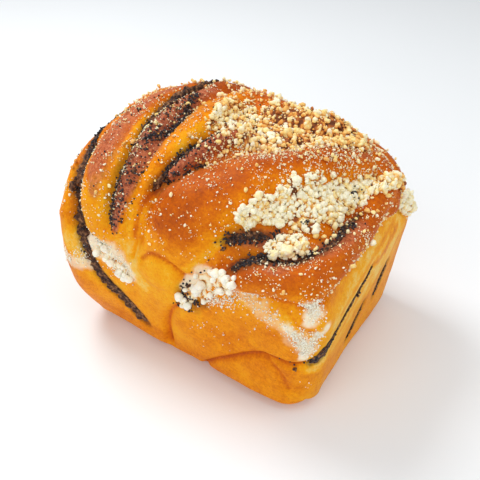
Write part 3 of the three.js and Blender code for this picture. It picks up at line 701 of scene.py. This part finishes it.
def dough_material():
    n = Nodes("baked_dough")
    blotch = n.math("MULTIPLY", n.math("SUBTRACT", n.noise(90, 4), 0.5), 0.26)
    grain = n.math("MULTIPLY", n.math("SUBTRACT", n.noise(620, 4, 0.75), 0.5), 0.42)
    # The bake value also holds painted shade along the seam bottoms.
    bake = n.math("ADD", n.math("ADD", n.attribute("bake"), blotch), n.math("ADD", grain, 0.035))
    crust = n.ramp(bake, [
        (0.05, srgb(247, 228, 172)), (0.2, srgb(243, 202, 104)), (0.32, srgb(246, 174, 22)),
        (0.44, srgb(240, 150, 10)), (0.56, srgb(218, 116, 4)), (0.68, srgb(196, 92, 12)),
        (0.82, srgb(158, 68, 22)), (1.0, srgb(96, 36, 22)),
    ])
    # The stain value holds the filling's film and, on the broad strand's upper ridge, a painted sheen.
    mottle = n.math("ADD", n.math("MULTIPLY", n.noise(420, 5, 0.8), 2.0), 0.05)
    film_and_sheen = n.math("MULTIPLY", n.attribute("stain_and_sheen"), mottle, clamp=True)
    stain_and_sheen_colour = n.mix(film_and_sheen, crust, n.ramp(n.noise(650, 5, 0.8), [
        (0.36, srgb(104, 46, 34)), (0.5, srgb(188, 102, 70)), (0.64, srgb(222, 142, 100)),
    ]))
    smear = n.math("MULTIPLY", n.attribute("seedy"), n.math("ADD", n.noise(900, 2), 0.1), clamp=True)
    dark = n.mix(smear, stain_and_sheen_colour, srgb(66, 32, 24))
    freckle = n.ramp(n.noise(1300, 2), [(0.64, (0, 0, 0, 1)), (0.72, (0.4, 0.4, 0.4, 1))])
    dark = n.mix(freckle, dark, srgb(120, 46, 18))
    frost = n.math("MULTIPLY", n.attribute("pale"), n.math("ADD", n.noise(500, 5, 0.8), 0.45), clamp=True)
    pale = n.mix(frost, dark, srgb(252, 238, 210))
    gloss = n.math("ADD", 0.6, n.math("MULTIPLY", n.attribute("bake"), -0.3))
    return n.shade(Base_Color=pale, Roughness=gloss, Specular_IOR_Level=0.08, Subsurface_Weight=0.1,
                   Subsurface_Radius=(1.0, 0.45, 0.15), Subsurface_Scale=0.002,
                   Normal=n.bump(n.noise(750, 5, 0.7), 0.4, 0.0006))


def paste_material():
    n = Nodes("poppy_paste")
    colour = n.ramp(n.noise(500, 3), [
        (0.36, srgb(38, 24, 20)), (0.5, srgb(84, 52, 36)), (0.66, srgb(156, 110, 72)),
    ])
    return n.shade(Base_Color=colour, Roughness=0.6, Specular_IOR_Level=0.2,
                   Normal=n.bump(n.noise(800, 3), 0.9, 0.0008))


def seed_material():
    n = Nodes("poppy_seeds")
    colour = n.ramp(n.noise(350, 2), [
        (0.35, srgb(22, 18, 24)), (0.6, srgb(44, 36, 44)), (0.8, srgb(84, 62, 62)),
    ])
    return n.shade(Base_Color=colour, Roughness=0.42, Normal=n.bump(n.noise(1600, 2), 0.5, 0.0002))


def streusel_material(name, pale, warm):
    n = Nodes(name)
    fleck = n.math("MULTIPLY", n.math("SUBTRACT", n.noise(420, 5, 0.7), 0.5), 0.8)
    # The toast value also holds painted shade: darker gaps in the beds and darker undersides of the crumbs.
    share = n.math("MULTIPLY", n.math("ADD", n.attribute("toast"), fleck), 0.8)
    colour = n.ramp(share, [
        (0.05, pale), (0.36, warm), (0.62, srgb(236, 164, 72)), (0.82, srgb(176, 94, 38)),
        (1.0, srgb(112, 58, 26)),
    ])
    return n.shade(Base_Color=colour, Roughness=0.85, Subsurface_Weight=0.15,
                   Subsurface_Radius=(1.0, 0.7, 0.4), Subsurface_Scale=0.002,
                   Normal=n.bump(n.noise(1100, 4), 0.5, 0.0005))


# ---------- filling
STRIP_SHARES = (-1.0, -0.85, -0.6, -0.3, 0.0, 0.3, 0.6, 0.85, 1.0)  # columns across the edge
STRIP_STEP = 0.6  # length of its rows
STRIP_LUMPS = 0.6  # height of its lumps
END_TAPER = 2.5  # length over which it narrows at each end


def end_taper(along, line):
    """Share of a strip's width that is left at places along it."""
    return np.clip(np.minimum(along, 1 - along) * length_of(line) / END_TAPER, 0.2, 1) ** 0.5


def make_strip(name, f, material):
    """The filling's sheet: a lumpy edge that lies along the dough, running in between the strands."""
    line = lay(f.line, max(24, int(length_of(FILLING_LINES[name]) / STRIP_STEP)))
    inward = unit(heart_of(line) - line)
    side = unit(np.cross(unit(np.gradient(line, axis=0)), inward))
    base = surface(line)
    along = np.linspace(0, 1, len(line))
    ends = end_taper(along, line)
    wide = between(f.half, along) * ends
    stand = between(f.stand, along) * ends
    deep = f.depth * (0.45 + 0.55 * np.sin(math.pi * np.clip(along, 0.05, 0.95)))
    rows = []
    for across in STRIP_SHARES:
        ragged = 0.5 * (0.6 + wide) * noise_at(line, 2.2, 10 + (across > 0)) * abs(across)
        place = snap(line + side * (wide * across + ragged)[:, None])
        rise = stand * (1 - across ** 6) - 0.5 * across ** 6
        lumps = STRIP_LUMPS * (cobble(place, 1.4, 3) - 0.4) * (abs(across) < 1)
        rows.append(surface(place, rise + lumps))
    for turn in (1, -1):
        rows.append(base + turn * side * (wide * 0.8)[:, None] + inward * deep[:, None])
    count = len(rows)
    points = np.stack(rows, axis=1).reshape(-1, 3)
    n = np.arange(len(line) - 1)[:, None]
    c = np.arange(count)[None, :]
    a = n * count + c
    b = n * count + (c + 1) % count
    quads = np.stack([a, b, b + count, a + count], axis=-1).reshape(-1, 4)
    start = np.arange(count)[None, ::-1]
    end = (len(line) - 1) * count + np.arange(count)[None, :]
    obj = add_mesh(name.replace("filling", "paste"), points, [quads, start, end], material)
    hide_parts(name)
    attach(obj, "root")
    return obj


# ---------- scattered things
def icosphere(level):
    """Points and triangles of a unit sphere made from an icosahedron."""
    g = (1 + 5 ** 0.5) / 2
    points = [(-1, g, 0), (1, g, 0), (-1, -g, 0), (1, -g, 0), (0, -1, g), (0, 1, g),
              (0, -1, -g), (0, 1, -g), (g, 0, -1), (g, 0, 1), (-g, 0, -1), (-g, 0, 1)]
    faces = [(0, 11, 5), (0, 5, 1), (0, 1, 7), (0, 7, 10), (0, 10, 11), (1, 5, 9), (5, 11, 4),
             (11, 10, 2), (10, 7, 6), (7, 1, 8), (3, 9, 4), (3, 4, 2), (3, 2, 6), (3, 6, 8),
             (3, 8, 9), (4, 9, 5), (2, 4, 11), (6, 2, 10), (8, 6, 7), (9, 8, 1)]
    points = [np.array(p, float) / np.linalg.norm(p) for p in points]
    for _ in range(level):
        middles = {}
        finer = []

        def middle(a, b):
            key = (min(a, b), max(a, b))
            if key not in middles:
                m = points[a] + points[b]
                middles[key] = len(points)
                points.append(m / np.linalg.norm(m))
            return middles[key]

        for a, b, c in faces:
            ab, bc, ca = middle(a, b), middle(b, c), middle(c, a)
            finer += [(a, ab, ca), (b, bc, ab), (c, ca, bc), (ab, bc, ca)]
        faces = finer
    return np.array(points), np.array(faces)


def random_turns(rng, bodies):
    """Each body turned a random way about its own middle."""
    w, x, y, z = unit(rng.normal(size=(len(bodies), 4))).T
    turns = np.stack([
        np.stack([1 - 2 * (y * y + z * z), 2 * (x * y - z * w), 2 * (x * z + y * w)], axis=1),
        np.stack([2 * (x * y + z * w), 1 - 2 * (x * x + z * z), 2 * (y * z - x * w)], axis=1),
        np.stack([2 * (x * z - y * w), 2 * (y * z + x * w), 1 - 2 * (x * x + y * y)], axis=1),
    ], axis=1)
    return np.einsum("nij,nkj->nki", turns, bodies)


def placed(local, faces, centres):
    """Small bodies set at their centres: all points, all triangles and the number of points in each."""
    count, each = local.shape[:2]
    triangles = faces[None] + (np.arange(count) * each)[:, None, None]
    return (local + centres[:, None, :]).reshape(-1, 3), triangles.reshape(-1, 3), each


def crumbs(rng, centres, radii, level, lobes, core=CRAGGY):
    """Crumbs, each a clump of rounded lobes about a core; a large core makes them round."""
    ball, faces = icosphere(level)
    count = len(centres)
    reach = np.full((count, len(ball)), core)
    for _ in range(lobes):
        way = unit(rng.normal(size=(count, 3)))
        off = rng.uniform(0.2, 0.55, (count, 1))
        size = rng.uniform(0.35, 0.6, (count, 1))
        ahead = off * (way @ ball.T)
        inside = size ** 2 - off ** 2 + ahead ** 2
        lobe = np.where(inside > 0, ahead + np.sqrt(np.maximum(inside, 0)), 0)
        reach = np.maximum(reach, lobe)
    reach *= 1 + rng.uniform(-0.06, 0.06, reach.shape)
    squash = 1 + (1 - core) * rng.uniform(-0.6, 0.45, (count, 1, 3))
    return placed(ball[None] * squash * reach[..., None] * radii[:, None, None], faces, centres)


def fine_crumbs(rng, centres, radii):
    return crumbs(rng, centres, radii, 1, 4)


def flour(rng, centres, radii):
    return crumbs(rng, centres, radii, 0, 3)


def grains(rng, centres, radii):
    """Small rounded seeds, a little longer than wide."""
    ball, faces = icosphere(0)
    local = ball[None] * rng.uniform(0.8, 1.2, (len(centres), 1, 3)) * radii[:, None, None]
    return placed(random_turns(rng, local), faces, centres)


def dust(rng, centres, radii):
    """Specks with eight faces, each pulled out of shape."""
    corners = np.vstack([np.eye(3), -np.eye(3)])
    faces = np.array([(0, 1, 2), (1, 3, 2), (3, 4, 2), (4, 0, 2), (1, 0, 5), (3, 1, 5), (4, 3, 5),
                      (0, 4, 5)])
    local = corners[None] * rng.uniform(0.7, 1.35, (len(centres), 6, 1)) * radii[:, None, None]
    return placed(random_turns(rng, local), faces, centres)


class Skin:
    """Surfaces that things are strewn on: triangles with normals, in mm."""

    def __init__(self, objects):
        corners = []
        for obj in objects:
            mesh = obj.data
            mesh.calc_loop_triangles()
            co = np.empty(len(mesh.vertices) * 3, np.float32)
            mesh.vertices.foreach_get("co", co)
            tri = np.empty(len(mesh.loop_triangles) * 3, np.int32)
            mesh.loop_triangles.foreach_get("vertices", tri)
            corners.append(co.reshape(-1, 3)[tri.reshape(-1, 3)].astype(float) / MM)
        self.corners = np.concatenate(corners)
        cross = np.cross(self.corners[:, 1] - self.corners[:, 0], self.corners[:, 2] - self.corners[:, 0])
        self.area = np.linalg.norm(cross, axis=1) / 2
        self.normal = unit(cross)
        self.middle = self.corners.mean(axis=1)

    def strew(self, rng, count, density):
        weight = self.area * density(self.middle)
        chosen = rng.choice(len(weight), count, p=weight / weight.sum())
        a, b = rng.random((2, count, 1))
        flip = (a + b) > 1
        a, b = np.where(flip, 1 - a, a), np.where(flip, 1 - b, b)
        c = self.corners[chosen]
        spots = c[:, 0] + a * (c[:, 1] - c[:, 0]) + b * (c[:, 2] - c[:, 0])
        return spots, self.normal[chosen]


def near_spots(p, spots, lift=0.0):
    """How densely each point is covered by round spots: middle, reach and strength."""
    middles = surface(snap([at for at, _, _ in spots]), lift)
    total = np.zeros(len(p))
    for middle, (_, reach, strength) in zip(middles, spots):
        total += strength * near(np.linalg.norm(p - middle, axis=1), reach)
    return total


def near_bands(p, bands):
    """How densely each point is covered by bands: line, half width and strength."""
    total = np.zeros(len(p))
    for points, half, strength in bands:
        away = nearest(p, surface(lay(points, 8 * len(points))), half * 3)[0]
        total = np.maximum(total, strength * near(away, half))
    return total


# ---------- streusel
HEAP_LINES = {name: lay(h.spine, 60) for name, h in HEAPS.items()}
BED_STEP = 0.8
BED_DEPTH = 1.2
KNOB = 2.6  # sizes of the bed's bumps
SMALL_KNOB = 1.2
SMALL_BIAS = 2.4  # above 1, small crumbs outnumber large ones
SPILL = 1.12  # crumbs roll this far past the bed's half width
LUMP_LOBES = 14
LUMP_CORE = 0.62
BED_TOAST_AND_SHADE = 1.2  # the gaps between the crumbs are darker than their tops: partly the bed's own browner colour, partly painted shade
# painted shade on the crumbs' undersides
UNDER_SHADE = 0.6
FINE_SHARE = 0.6  # crumbs up to this share of the size range have a coarser mesh


def heap_spot(heap, line, along, across):
    """Plain-loaf points of a heap, from shares along and across it."""
    side = unit(np.cross(unit(np.gradient(line, axis=0)), normal_at(line)))
    ragged = 1 + 0.2 * np.sin(along * 37 + 2 * np.sign(across)) + 0.12 * np.sin(along * 71 + across)
    wide = between(heap.half, along) * across * ragged
    return snap(read_off(line, along) + read_off(side, along) * wide[..., None])


def spread(rng, count, aspect):
    """Shares along and across a heap, each picked as the loneliest of a few throws."""
    picked = np.zeros((0, 2))
    for _ in range(count):
        throws = rng.uniform((0, -1), (1, 1), (3, 2))
        if len(picked):
            gap = (throws[:, None] - picked[None]) * (2 * aspect, 1)
            throws = throws[[np.argmax((gap ** 2).sum(axis=2).min(axis=1))]]
        picked = np.vstack([picked, throws[:1]])
    return picked[:, 0], picked[:, 1]


def heap_rise(heap, along, across):
    """Height of the bed: full in the middle, thin at the rim."""
    edge = 1 - np.maximum(np.abs(across) ** 2.5, np.abs(2 * along - 1) ** 8)
    return heap.bed * np.clip(edge, 0, 1) ** 0.7


def heap_bed(heap, line):
    """A cobbled bed that follows the dough, as points, faces and toast; its gaps between the knobs are
    darker, partly its own browner colour and partly painted shade.
    """
    rows = int(length_of(line) / BED_STEP) + 1
    cols = int(2 * max(heap.half) / BED_STEP) + 1
    along, across = np.meshgrid(np.linspace(0, 1, rows), np.linspace(-1, 1, cols), indexing="ij")
    along, across = along.reshape(-1), across.reshape(-1)
    plain = heap_spot(heap, line, along, across)
    rise = heap_rise(heap, along, across)
    knobs = cobble(plain, KNOB, 1) + 0.45 * cobble(plain, SMALL_KNOB, 2)
    thin = np.clip(rise / 0.8, 0, 1)
    base = surface(plain)
    normal = normal_at(plain)
    high = base + normal * (rise + thin * (1.3 * knobs - 0.7) - 0.15)[:, None]
    low = base - normal * BED_DEPTH
    grid = np.arange(rows * cols).reshape(rows, cols)
    square = np.stack([grid[:-1, :-1], grid[:-1, 1:], grid[1:, 1:], grid[1:, :-1]], axis=-1).reshape(-1, 4)
    rim = np.concatenate([grid[0, :-1], grid[:-1, -1], grid[-1, :0:-1], grid[:0:-1, 0]])
    rim_next = np.roll(rim, -1)
    wall = np.stack([rim, rim + rows * cols, rim_next + rows * cols, rim_next], axis=1)
    faces = np.vstack([square, square[:, ::-1] + rows * cols, wall])
    # painted shade with the bed's own browner colour: the toast is raised in the gaps between the knobs
    return np.vstack([high, low]), faces, np.tile(heap.toast + BED_TOAST_AND_SHADE - 0.8 * knobs, 2)


def heap_crumbs(heap, line, rng, radii, level):
    """Crumbs of the given radii strewn over a heap, as points, faces and toast; their undersides get
    painted shade.
    """
    share, aside = spread(rng, len(radii), length_of(line) / (2 * max(heap.half)))
    spot = heap_spot(heap, line, share, aside * SPILL)
    lift = heap_rise(heap, share, aside) + radii * rng.uniform(0.0, 0.6, len(radii))
    lift += 0.35 * radii * (heap.core == ROUND)
    centres = surface(spot) + normal_at(spot) * lift[:, None]
    points, triangles, each = crumbs(rng, centres, radii, level, 5, heap.core)
    own = heap.toast + rng.normal(0, 0.22, len(radii)) + 0.4 * noise_at(spot, 9.0, 8)
    own += heap.end_toast * share ** 3
    # painted shade: each crumb's points below its middle are darkened
    under = np.einsum("nij,nj->ni", centres[:, None] - points.reshape(-1, each, 3), normal_at(spot))
    toast = own[:, None] + UNDER_SHADE * np.clip(under / radii[:, None], -0.4, 1)
    return points, triangles, toast.ravel()


def heap_lump(heap, rng, at, radius):
    """One large lump on a heap, as points, faces and toast."""
    centre = surface(snap([at]), heap.bed)
    points, triangles, _ = crumbs(rng, centre, np.array([radius]), 3, LUMP_LOBES, LUMP_CORE)
    points += unit(points - centre) * (0.35 * noise_at(points, 1.3, 7))[:, None]
    return points, triangles, heap.toast + 0.25 * noise_at(points, 1.6, 9)


def make_heap(name, heap, material, rng):
    """A heap of streusel: its bed, covered with crumbs and lumps."""
    line = HEAP_LINES[name]
    parts = [heap_bed(heap, line)]
    small, large = heap.size
    sizes = small + (large - small) * rng.random(heap.crumbs) ** SMALL_BIAS
    fine = sizes < small + FINE_SHARE * (large - small)
    for level, chosen in ((1, fine), (2, ~fine)):
        parts.append(heap_crumbs(heap, line, rng, sizes[chosen], level))
    parts += [heap_lump(heap, rng, at, radius) for at, radius in heap.lumps]
    points, faces, toast = zip(*parts)
    starts = np.cumsum([0] + [len(p) for p in points[:-1]])
    faces = [f + start for f, start in zip(faces, starts)]
    obj = add_mesh(name.replace("streusel", "crumbs"), np.vstack(points), faces, material)
    add_attribute(obj, "toast", np.concatenate(toast))
    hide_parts(name)
    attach(obj, "root")
    return obj


LOOSE_BIAS = 2.2  # the same as SMALL_BIAS, for loose things
TOAST_SPREAD = 0.2


def strewn(name, maker, skin, rng, count, sizes, density, material, sink, toast=None):
    """Loose things of one kind, joined in one piece and sunk into the skin by a share of their radius."""
    spots, normals = skin.strew(rng, count, density)
    radii = sizes[0] + (sizes[1] - sizes[0]) * rng.random(count) ** LOOSE_BIAS
    centres = spots + normals * (radii * (1 - sink))[:, None]
    points, triangles, each = maker(rng, centres, radii)
    obj = add_mesh(name, points, triangles, material)
    if toast is not None:
        add_attribute(obj, "toast", np.repeat(rng.normal(toast, TOAST_SPREAD, count), each))
    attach(obj, "root")
    return obj


# ---------- where loose things lie
# Bands where poppy seeds lie close together: line, half width and strength
SEED_BANDS = [
    ([(-49, 12, 121), (-62, -4, 115), (-68, -20, 107)], 1.1, 3),
    ([(-70, -24, 105), (-69, -36, 102), (-67, -44, 98), (-63, -54, 91)], 1.8, 6),
    ([(-66, -54, 91), (-62, -59, 86), (-59, -62, 72), (-54, -60, 58)], 1.8, 4),
    ([(-54, -60, 58), (-45, -58, 40), (-25, -56, 16)], 1.6, 0.6),
    ([(-36, -5, 124), (-34, 4, 124), (-33, 21, 123), (-33, 38, 118)], 1.8, 7),
    ([(-38, -22, 120), (-38, -34, 116), (-36, -46, 109), (-36, -54, 101), (-35, -61, 81)], 1.3, 4),
    ([(-27, 2, 124), (-25, -8, 123), (-23, -19, 122), (-24, -28, 119), (-28, -37, 115)], 1.8, 5),
    ([(-30, -6, 124), (-29, -22, 121), (-28, -36, 116), (-28, -50, 107), (-31, -61, 84)], 4.5, 1.1),
    ([(-44, -6, 123), (-49, -20, 120), (-50, -36, 113), (-47, -52, 102)], 5, 0.12),
    ([(1, -9, 121), (-4, -17, 120), (-9, -27, 118), (-11, -36, 115), (-13, -45, 109)], 1.7, 6),
    ([(-13, -48, 106), (-6, -42, 111), (0, -33, 115)], 1.2, 3),
    ([(-1, -16, 119), (-5, -28, 117), (-9, -40, 112)], 3.0, 1.5),
    ([(-56, -61, 68), (-51, -61, 68), (-46, -61, 66)], 1.0, 3),
    ([(24, -59, 89), (25, -55, 95), (30, -53, 98)], 1.6, 1.5),
    ([(27, -57, 93), (36, -54, 96), (44, -50, 99), (48, -44, 101)], 2.2, 4),
    ([(24, -57, 92), (32, -57, 91), (40, -57, 91)], 4, 0.4),
    ([(35, -61, 83), (39, -60, 87), (43, -58, 90), (47, -57, 91)], 1.8, 6),
    ([(49, -57, 90), (55, -52, 92), (62, -45, 94), (67, -35, 94), (72, -12, 92)], 2.0, 2.5),
    ([(9, -60, 64), (6, -59, 58), (9, -60, 55), (14, -60, 53)], 1.5, 3),
    ([(1, -59, 46), (6, -59, 47), (12, -59, 50)], 1.4, 3),
    ([(11, -61, 67), (16, -61, 74), (20, -61, 80)], 1.6, 0.5),
    ([(72, -53, 39), (74, -46, 43), (75, -40, 46)], 2.0, 5),
    ([(62, -57, 36), (66, -57, 33), (70, -54, 33)], 1.2, 0.8),
    ([(77, -4, 59), (76, -14, 54), (76, -24, 50)], 1.3, 2),
    ([(10, -60, 44), (28, -60, 50), (54, -59, 42)], 6, 0.012),
    ([(74, 24, 36), (73, 21, 27)], 1.2, 2),
    ([(74, 2, 26), (72, -7, 18)], 1.2, 2),
]

# Dark spots on the streusel in the crevice, and a lump of filling on the left seam
HEAP_SEED_SPOTS = [((65, 3, 101), 1.9, 1.0), ((57, -33, 102), 1.7, 1.0)]
CLUMP = (-65.5, -55, 90)
CLUMP_SIZE = 3.0
CLUMP_LIFT = 1.6
CLUMP_LOBES = 9
CLUMP_CORE = 0.7

# Places where crumbs, dust or flour are strewn thickly: middle, reach and strength
CRUMB_SPOTS = [
    ((-6, -22, 118), 8, 5), ((-4, -12, 121), 8, 4), ((2, -26, 117), 6, 3), ((12, -18, 118), 9, 5),
    ((24, -2, 117), 12, 5), ((42, 12, 112), 14, 5), ((58, 26, 106), 10, 2.5), ((-30, 34, 120), 14, 1.5),
    ((30, -46, 103), 5, 3), ((60, -42, 98), 8, 4), ((70, -14, 95), 8, 2), ((72, 8, 94), 10, 3),
    ((74, 24, 90), 8, 4), ((-60, 0, 116), 10, 1.2), ((0, -30, 115), 5, 2), ((-12, 28, 121), 12, 5),
    ((10, 36, 117), 14, 5), ((30, 38, 112), 12, 4), ((46, 40, 106), 12, 3),
    ((-64, -16, 112), 6, 3), ((-58, 4, 119), 7, 3), ((-46, 22, 122), 8, 3), ((-20, -4, 123), 6, 1.5),
]
DUST_SPOTS = [
    ((34, -6, 113), 22, 7), ((14, -10, 118), 18, 6), ((52, 12, 108), 20, 5), ((60, 30, 104), 16, 3),
    ((70, -40, 90), 20, 1), ((50, -60, 84), 16, 1), ((74, -4, 88), 18, 2), ((-30, -22, 121), 14, 4),
    ((-33, -46, 110), 10, 3), ((-48, -20, 119), 14, 2),
]
FLOUR_SPOTS = [
    ((72, -58, 73), 3.5, 9), ((73, -57, 69), 3.0, 7), ((67, -58, 55), 3.6, 9), ((69, -56, 49), 3.4, 9),
    ((73, -54, 57), 2.5, 7), ((63, -60, 59), 3.0, 5), ((52, -61, 64), 6, 1.5), ((42, -61, 68), 5, 2),
    ((30, -61, 66), 6, 4), ((22, -60, 60), 5, 3), ((-44, -61, 64), 6, 3), ((-34, -60, 56), 6, 4),
    ((-66, -58, 50), 4, 3), ((-58, -60, 54), 4, 3), ((14, -58, 38), 7, 0.12), ((26, -58, 36), 7, 0.1),
    ((70, -54, 20), 5, 0.12), ((44, -58, 52), 10, 0.05),
]


def on_top(p):
    return smoothstep(p[:, 2], RIM_Z - 4, RIM_Z + 12)


def clumps(p):
    """Uneven cover: patches of about 8 mm, and little groups inside them."""
    patches = np.clip(noise_at(p, 8.0, 4) + 0.55, 0.1, 1.3)
    return patches * np.clip(2.4 * noise_at(p, 1.8, 5) + 0.5, 0.04, 2.2)


def crumb_density(p):
    return 0.3 * on_top(p) + on_top(p) * near_spots(p, CRUMB_SPOTS)


def dust_density(p):
    return clumps(p) * on_top(p) * (1.7 + near_spots(p, DUST_SPOTS))


def flake_density(p):
    return clumps(p) * on_top(p) * (0.9 + 0.3 * near_spots(p, DUST_SPOTS))


def flour_density(p):
    return near_spots(p, FLOUR_SPOTS)


def seed_density(p):
    return near_bands(p, SEED_BANDS) + 0.004 * on_top(p)


def grit_density(p):
    return near_bands(p, SEED_BANDS) ** 1.5


def heap_seed_density(p):
    return near_spots(p, HEAP_SEED_SPOTS, 3.0)


# ---------- build
HEAP_SEED = 40
LOOSE_SEED = 7
CREAM = srgb(255, 247, 216)
IVORY = srgb(255, 226, 148)
WHITE = srgb(255, 249, 230)
PALE_CREAM = srgb(255, 238, 200)

loaf = make_dough()
paste = paste_material()
strips = [make_strip(strip_name, strip, paste) for strip_name, strip in FILLINGS.items()]

crumb_look = streusel_material("streusel_crumbs", CREAM, IVORY)
pearl_look = streusel_material("streusel_pearls", WHITE, PALE_CREAM)
heaps = []
for number, (heap_name, heap) in enumerate(HEAPS.items()):
    look = pearl_look if heap.core == ROUND else crumb_look
    heaps.append(make_heap(heap_name, heap, look, np.random.default_rng(HEAP_SEED + number)))

rng = np.random.default_rng(LOOSE_SEED)
clump_spot = surface(snap(np.array([CLUMP], float)), CLUMP_LIFT)
clump_points, clump_faces, _ = crumbs(rng, clump_spot, np.array([CLUMP_SIZE]), 3, CLUMP_LOBES, CLUMP_CORE)
clump = add_mesh("paste_clump", clump_points, clump_faces, paste)
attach(clump, "root")

bare = Skin([loaf])
grit = strewn("paste_grit", fine_crumbs, Skin([loaf, *strips]), rng, 480, (0.7, 1.6), grit_density, paste,
              0.6)
seeded = Skin([loaf, clump, grit, *strips])
strewn("loose_crumbs", fine_crumbs, bare, rng, 900, (0.7, 1.9), crumb_density, crumb_look,
       0.3, toast=0.4)
strewn("crumb_flakes", fine_crumbs, bare, rng, 1350, (0.38, 1.0), flake_density, crumb_look,
       0.4, toast=0.15)
strewn("flour_flakes", flour, bare, rng, 2200, (0.3, 0.9), flour_density, pearl_look,
       0.5, toast=-0.1)
strewn("crumb_dust", dust, bare, rng, 8000, (0.2, 0.5), dust_density, crumb_look,
       0.3, toast=0.2)
seed_look = seed_material()
strewn("poppy_seeds", grains, seeded, rng, 4500, (0.42, 0.66), seed_density, seed_look,
       0.3)
strewn("heap_seeds", grains, Skin(heaps), rng, 60, (0.42, 0.62), heap_seed_density, seed_look,
       0.1)


# ---------- stage, light and camera
FLOOR_HALF = 3000.0
FLOOR_GAP = 0.0002
LIGHT_DISTANCE = 0.9
LIGHT_AIM = 0.06  # height over the floor that the lights face
# Soft lights: azimuth, elevation, size in metres and power in watts
LIGHTS = {
    "key": (-100, 55, 0.35, 4.3),
    "fill": (0, 30, 0.7, 2.35),
    "side": (100, 35, 0.6, 1.5),
    "top": (50, 70, 0.5, 0.9),
}
SKY_COLOUR = (0.99, 0.995, 1.0, 1.0)
SKY_STRENGTH = 0.45
CAMERA_AZIMUTH = 31.68
CAMERA_ELEVATION = 36.76
CAMERA_DISTANCE = 383.4
CAMERA_TARGET = np.array([-7.1, 11.2, 36.55])


def floor_material():
    n = Nodes("pale_floor")
    colour = n.ramp(n.noise(3, 2), [(0.0, srgb(244, 248, 251)), (1.0, srgb(249, 252, 254))])
    return n.shade(Base_Color=colour, Roughness=0.9)


def make_stage():
    corners = np.array([(-1, -1, 0), (1, -1, 0), (1, 1, 0), (-1, 1, 0)]) * FLOOR_HALF
    obj = add_mesh("floor", corners, np.array([[0, 1, 2, 3]]), floor_material(), smooth=False)
    obj.location.z = -FLOOR_GAP


def outward(azimuth, elevation):
    """Direction from the loaf: azimuth 0 is in front of it, 90 to its right."""
    az, el = math.radians(azimuth), math.radians(elevation)
    return np.array([math.sin(az) * math.cos(el), -math.cos(az) * math.cos(el), math.sin(el)])


def add_area(name, azimuth, elevation, size, power):
    light = bpy.data.lights.new(name, "AREA")
    light.shape = "SQUARE"
    light.size = size
    light.energy = power
    obj = bpy.data.objects.new(name, light)
    back = outward(azimuth, elevation)
    obj.location = Vector(back * LIGHT_DISTANCE + np.array([0, 0, LIGHT_AIM]))
    obj.rotation_euler = Vector(back).to_track_quat("Z", "Y").to_euler()
    bpy.context.scene.collection.objects.link(obj)


def make_camera():
    back = outward(CAMERA_AZIMUTH, CAMERA_ELEVATION)
    camera = bpy.data.cameras.new("camera")
    camera.sensor_width = 36.0
    camera.lens = 50.0
    camera.clip_start = 0.01
    obj = bpy.data.objects.new("camera", camera)
    obj.location = Vector((CAMERA_TARGET + back * CAMERA_DISTANCE) * MM)
    obj.rotation_euler = Vector(back).to_track_quat("Z", "Y").to_euler()
    bpy.context.scene.collection.objects.link(obj)
    bpy.context.scene.camera = obj


def make_world():
    world = bpy.data.worlds.new("soft_studio")
    world.use_nodes = True
    sky = world.node_tree.nodes["Background"].inputs
    sky["Color"].default_value = SKY_COLOUR
    sky["Strength"].default_value = SKY_STRENGTH
    bpy.context.scene.world = world
    bpy.context.scene.view_settings.view_transform = "Standard"


make_stage()
for light_name, light_facts in LIGHTS.items():
    add_area(light_name, *light_facts)
make_world()
make_camera()
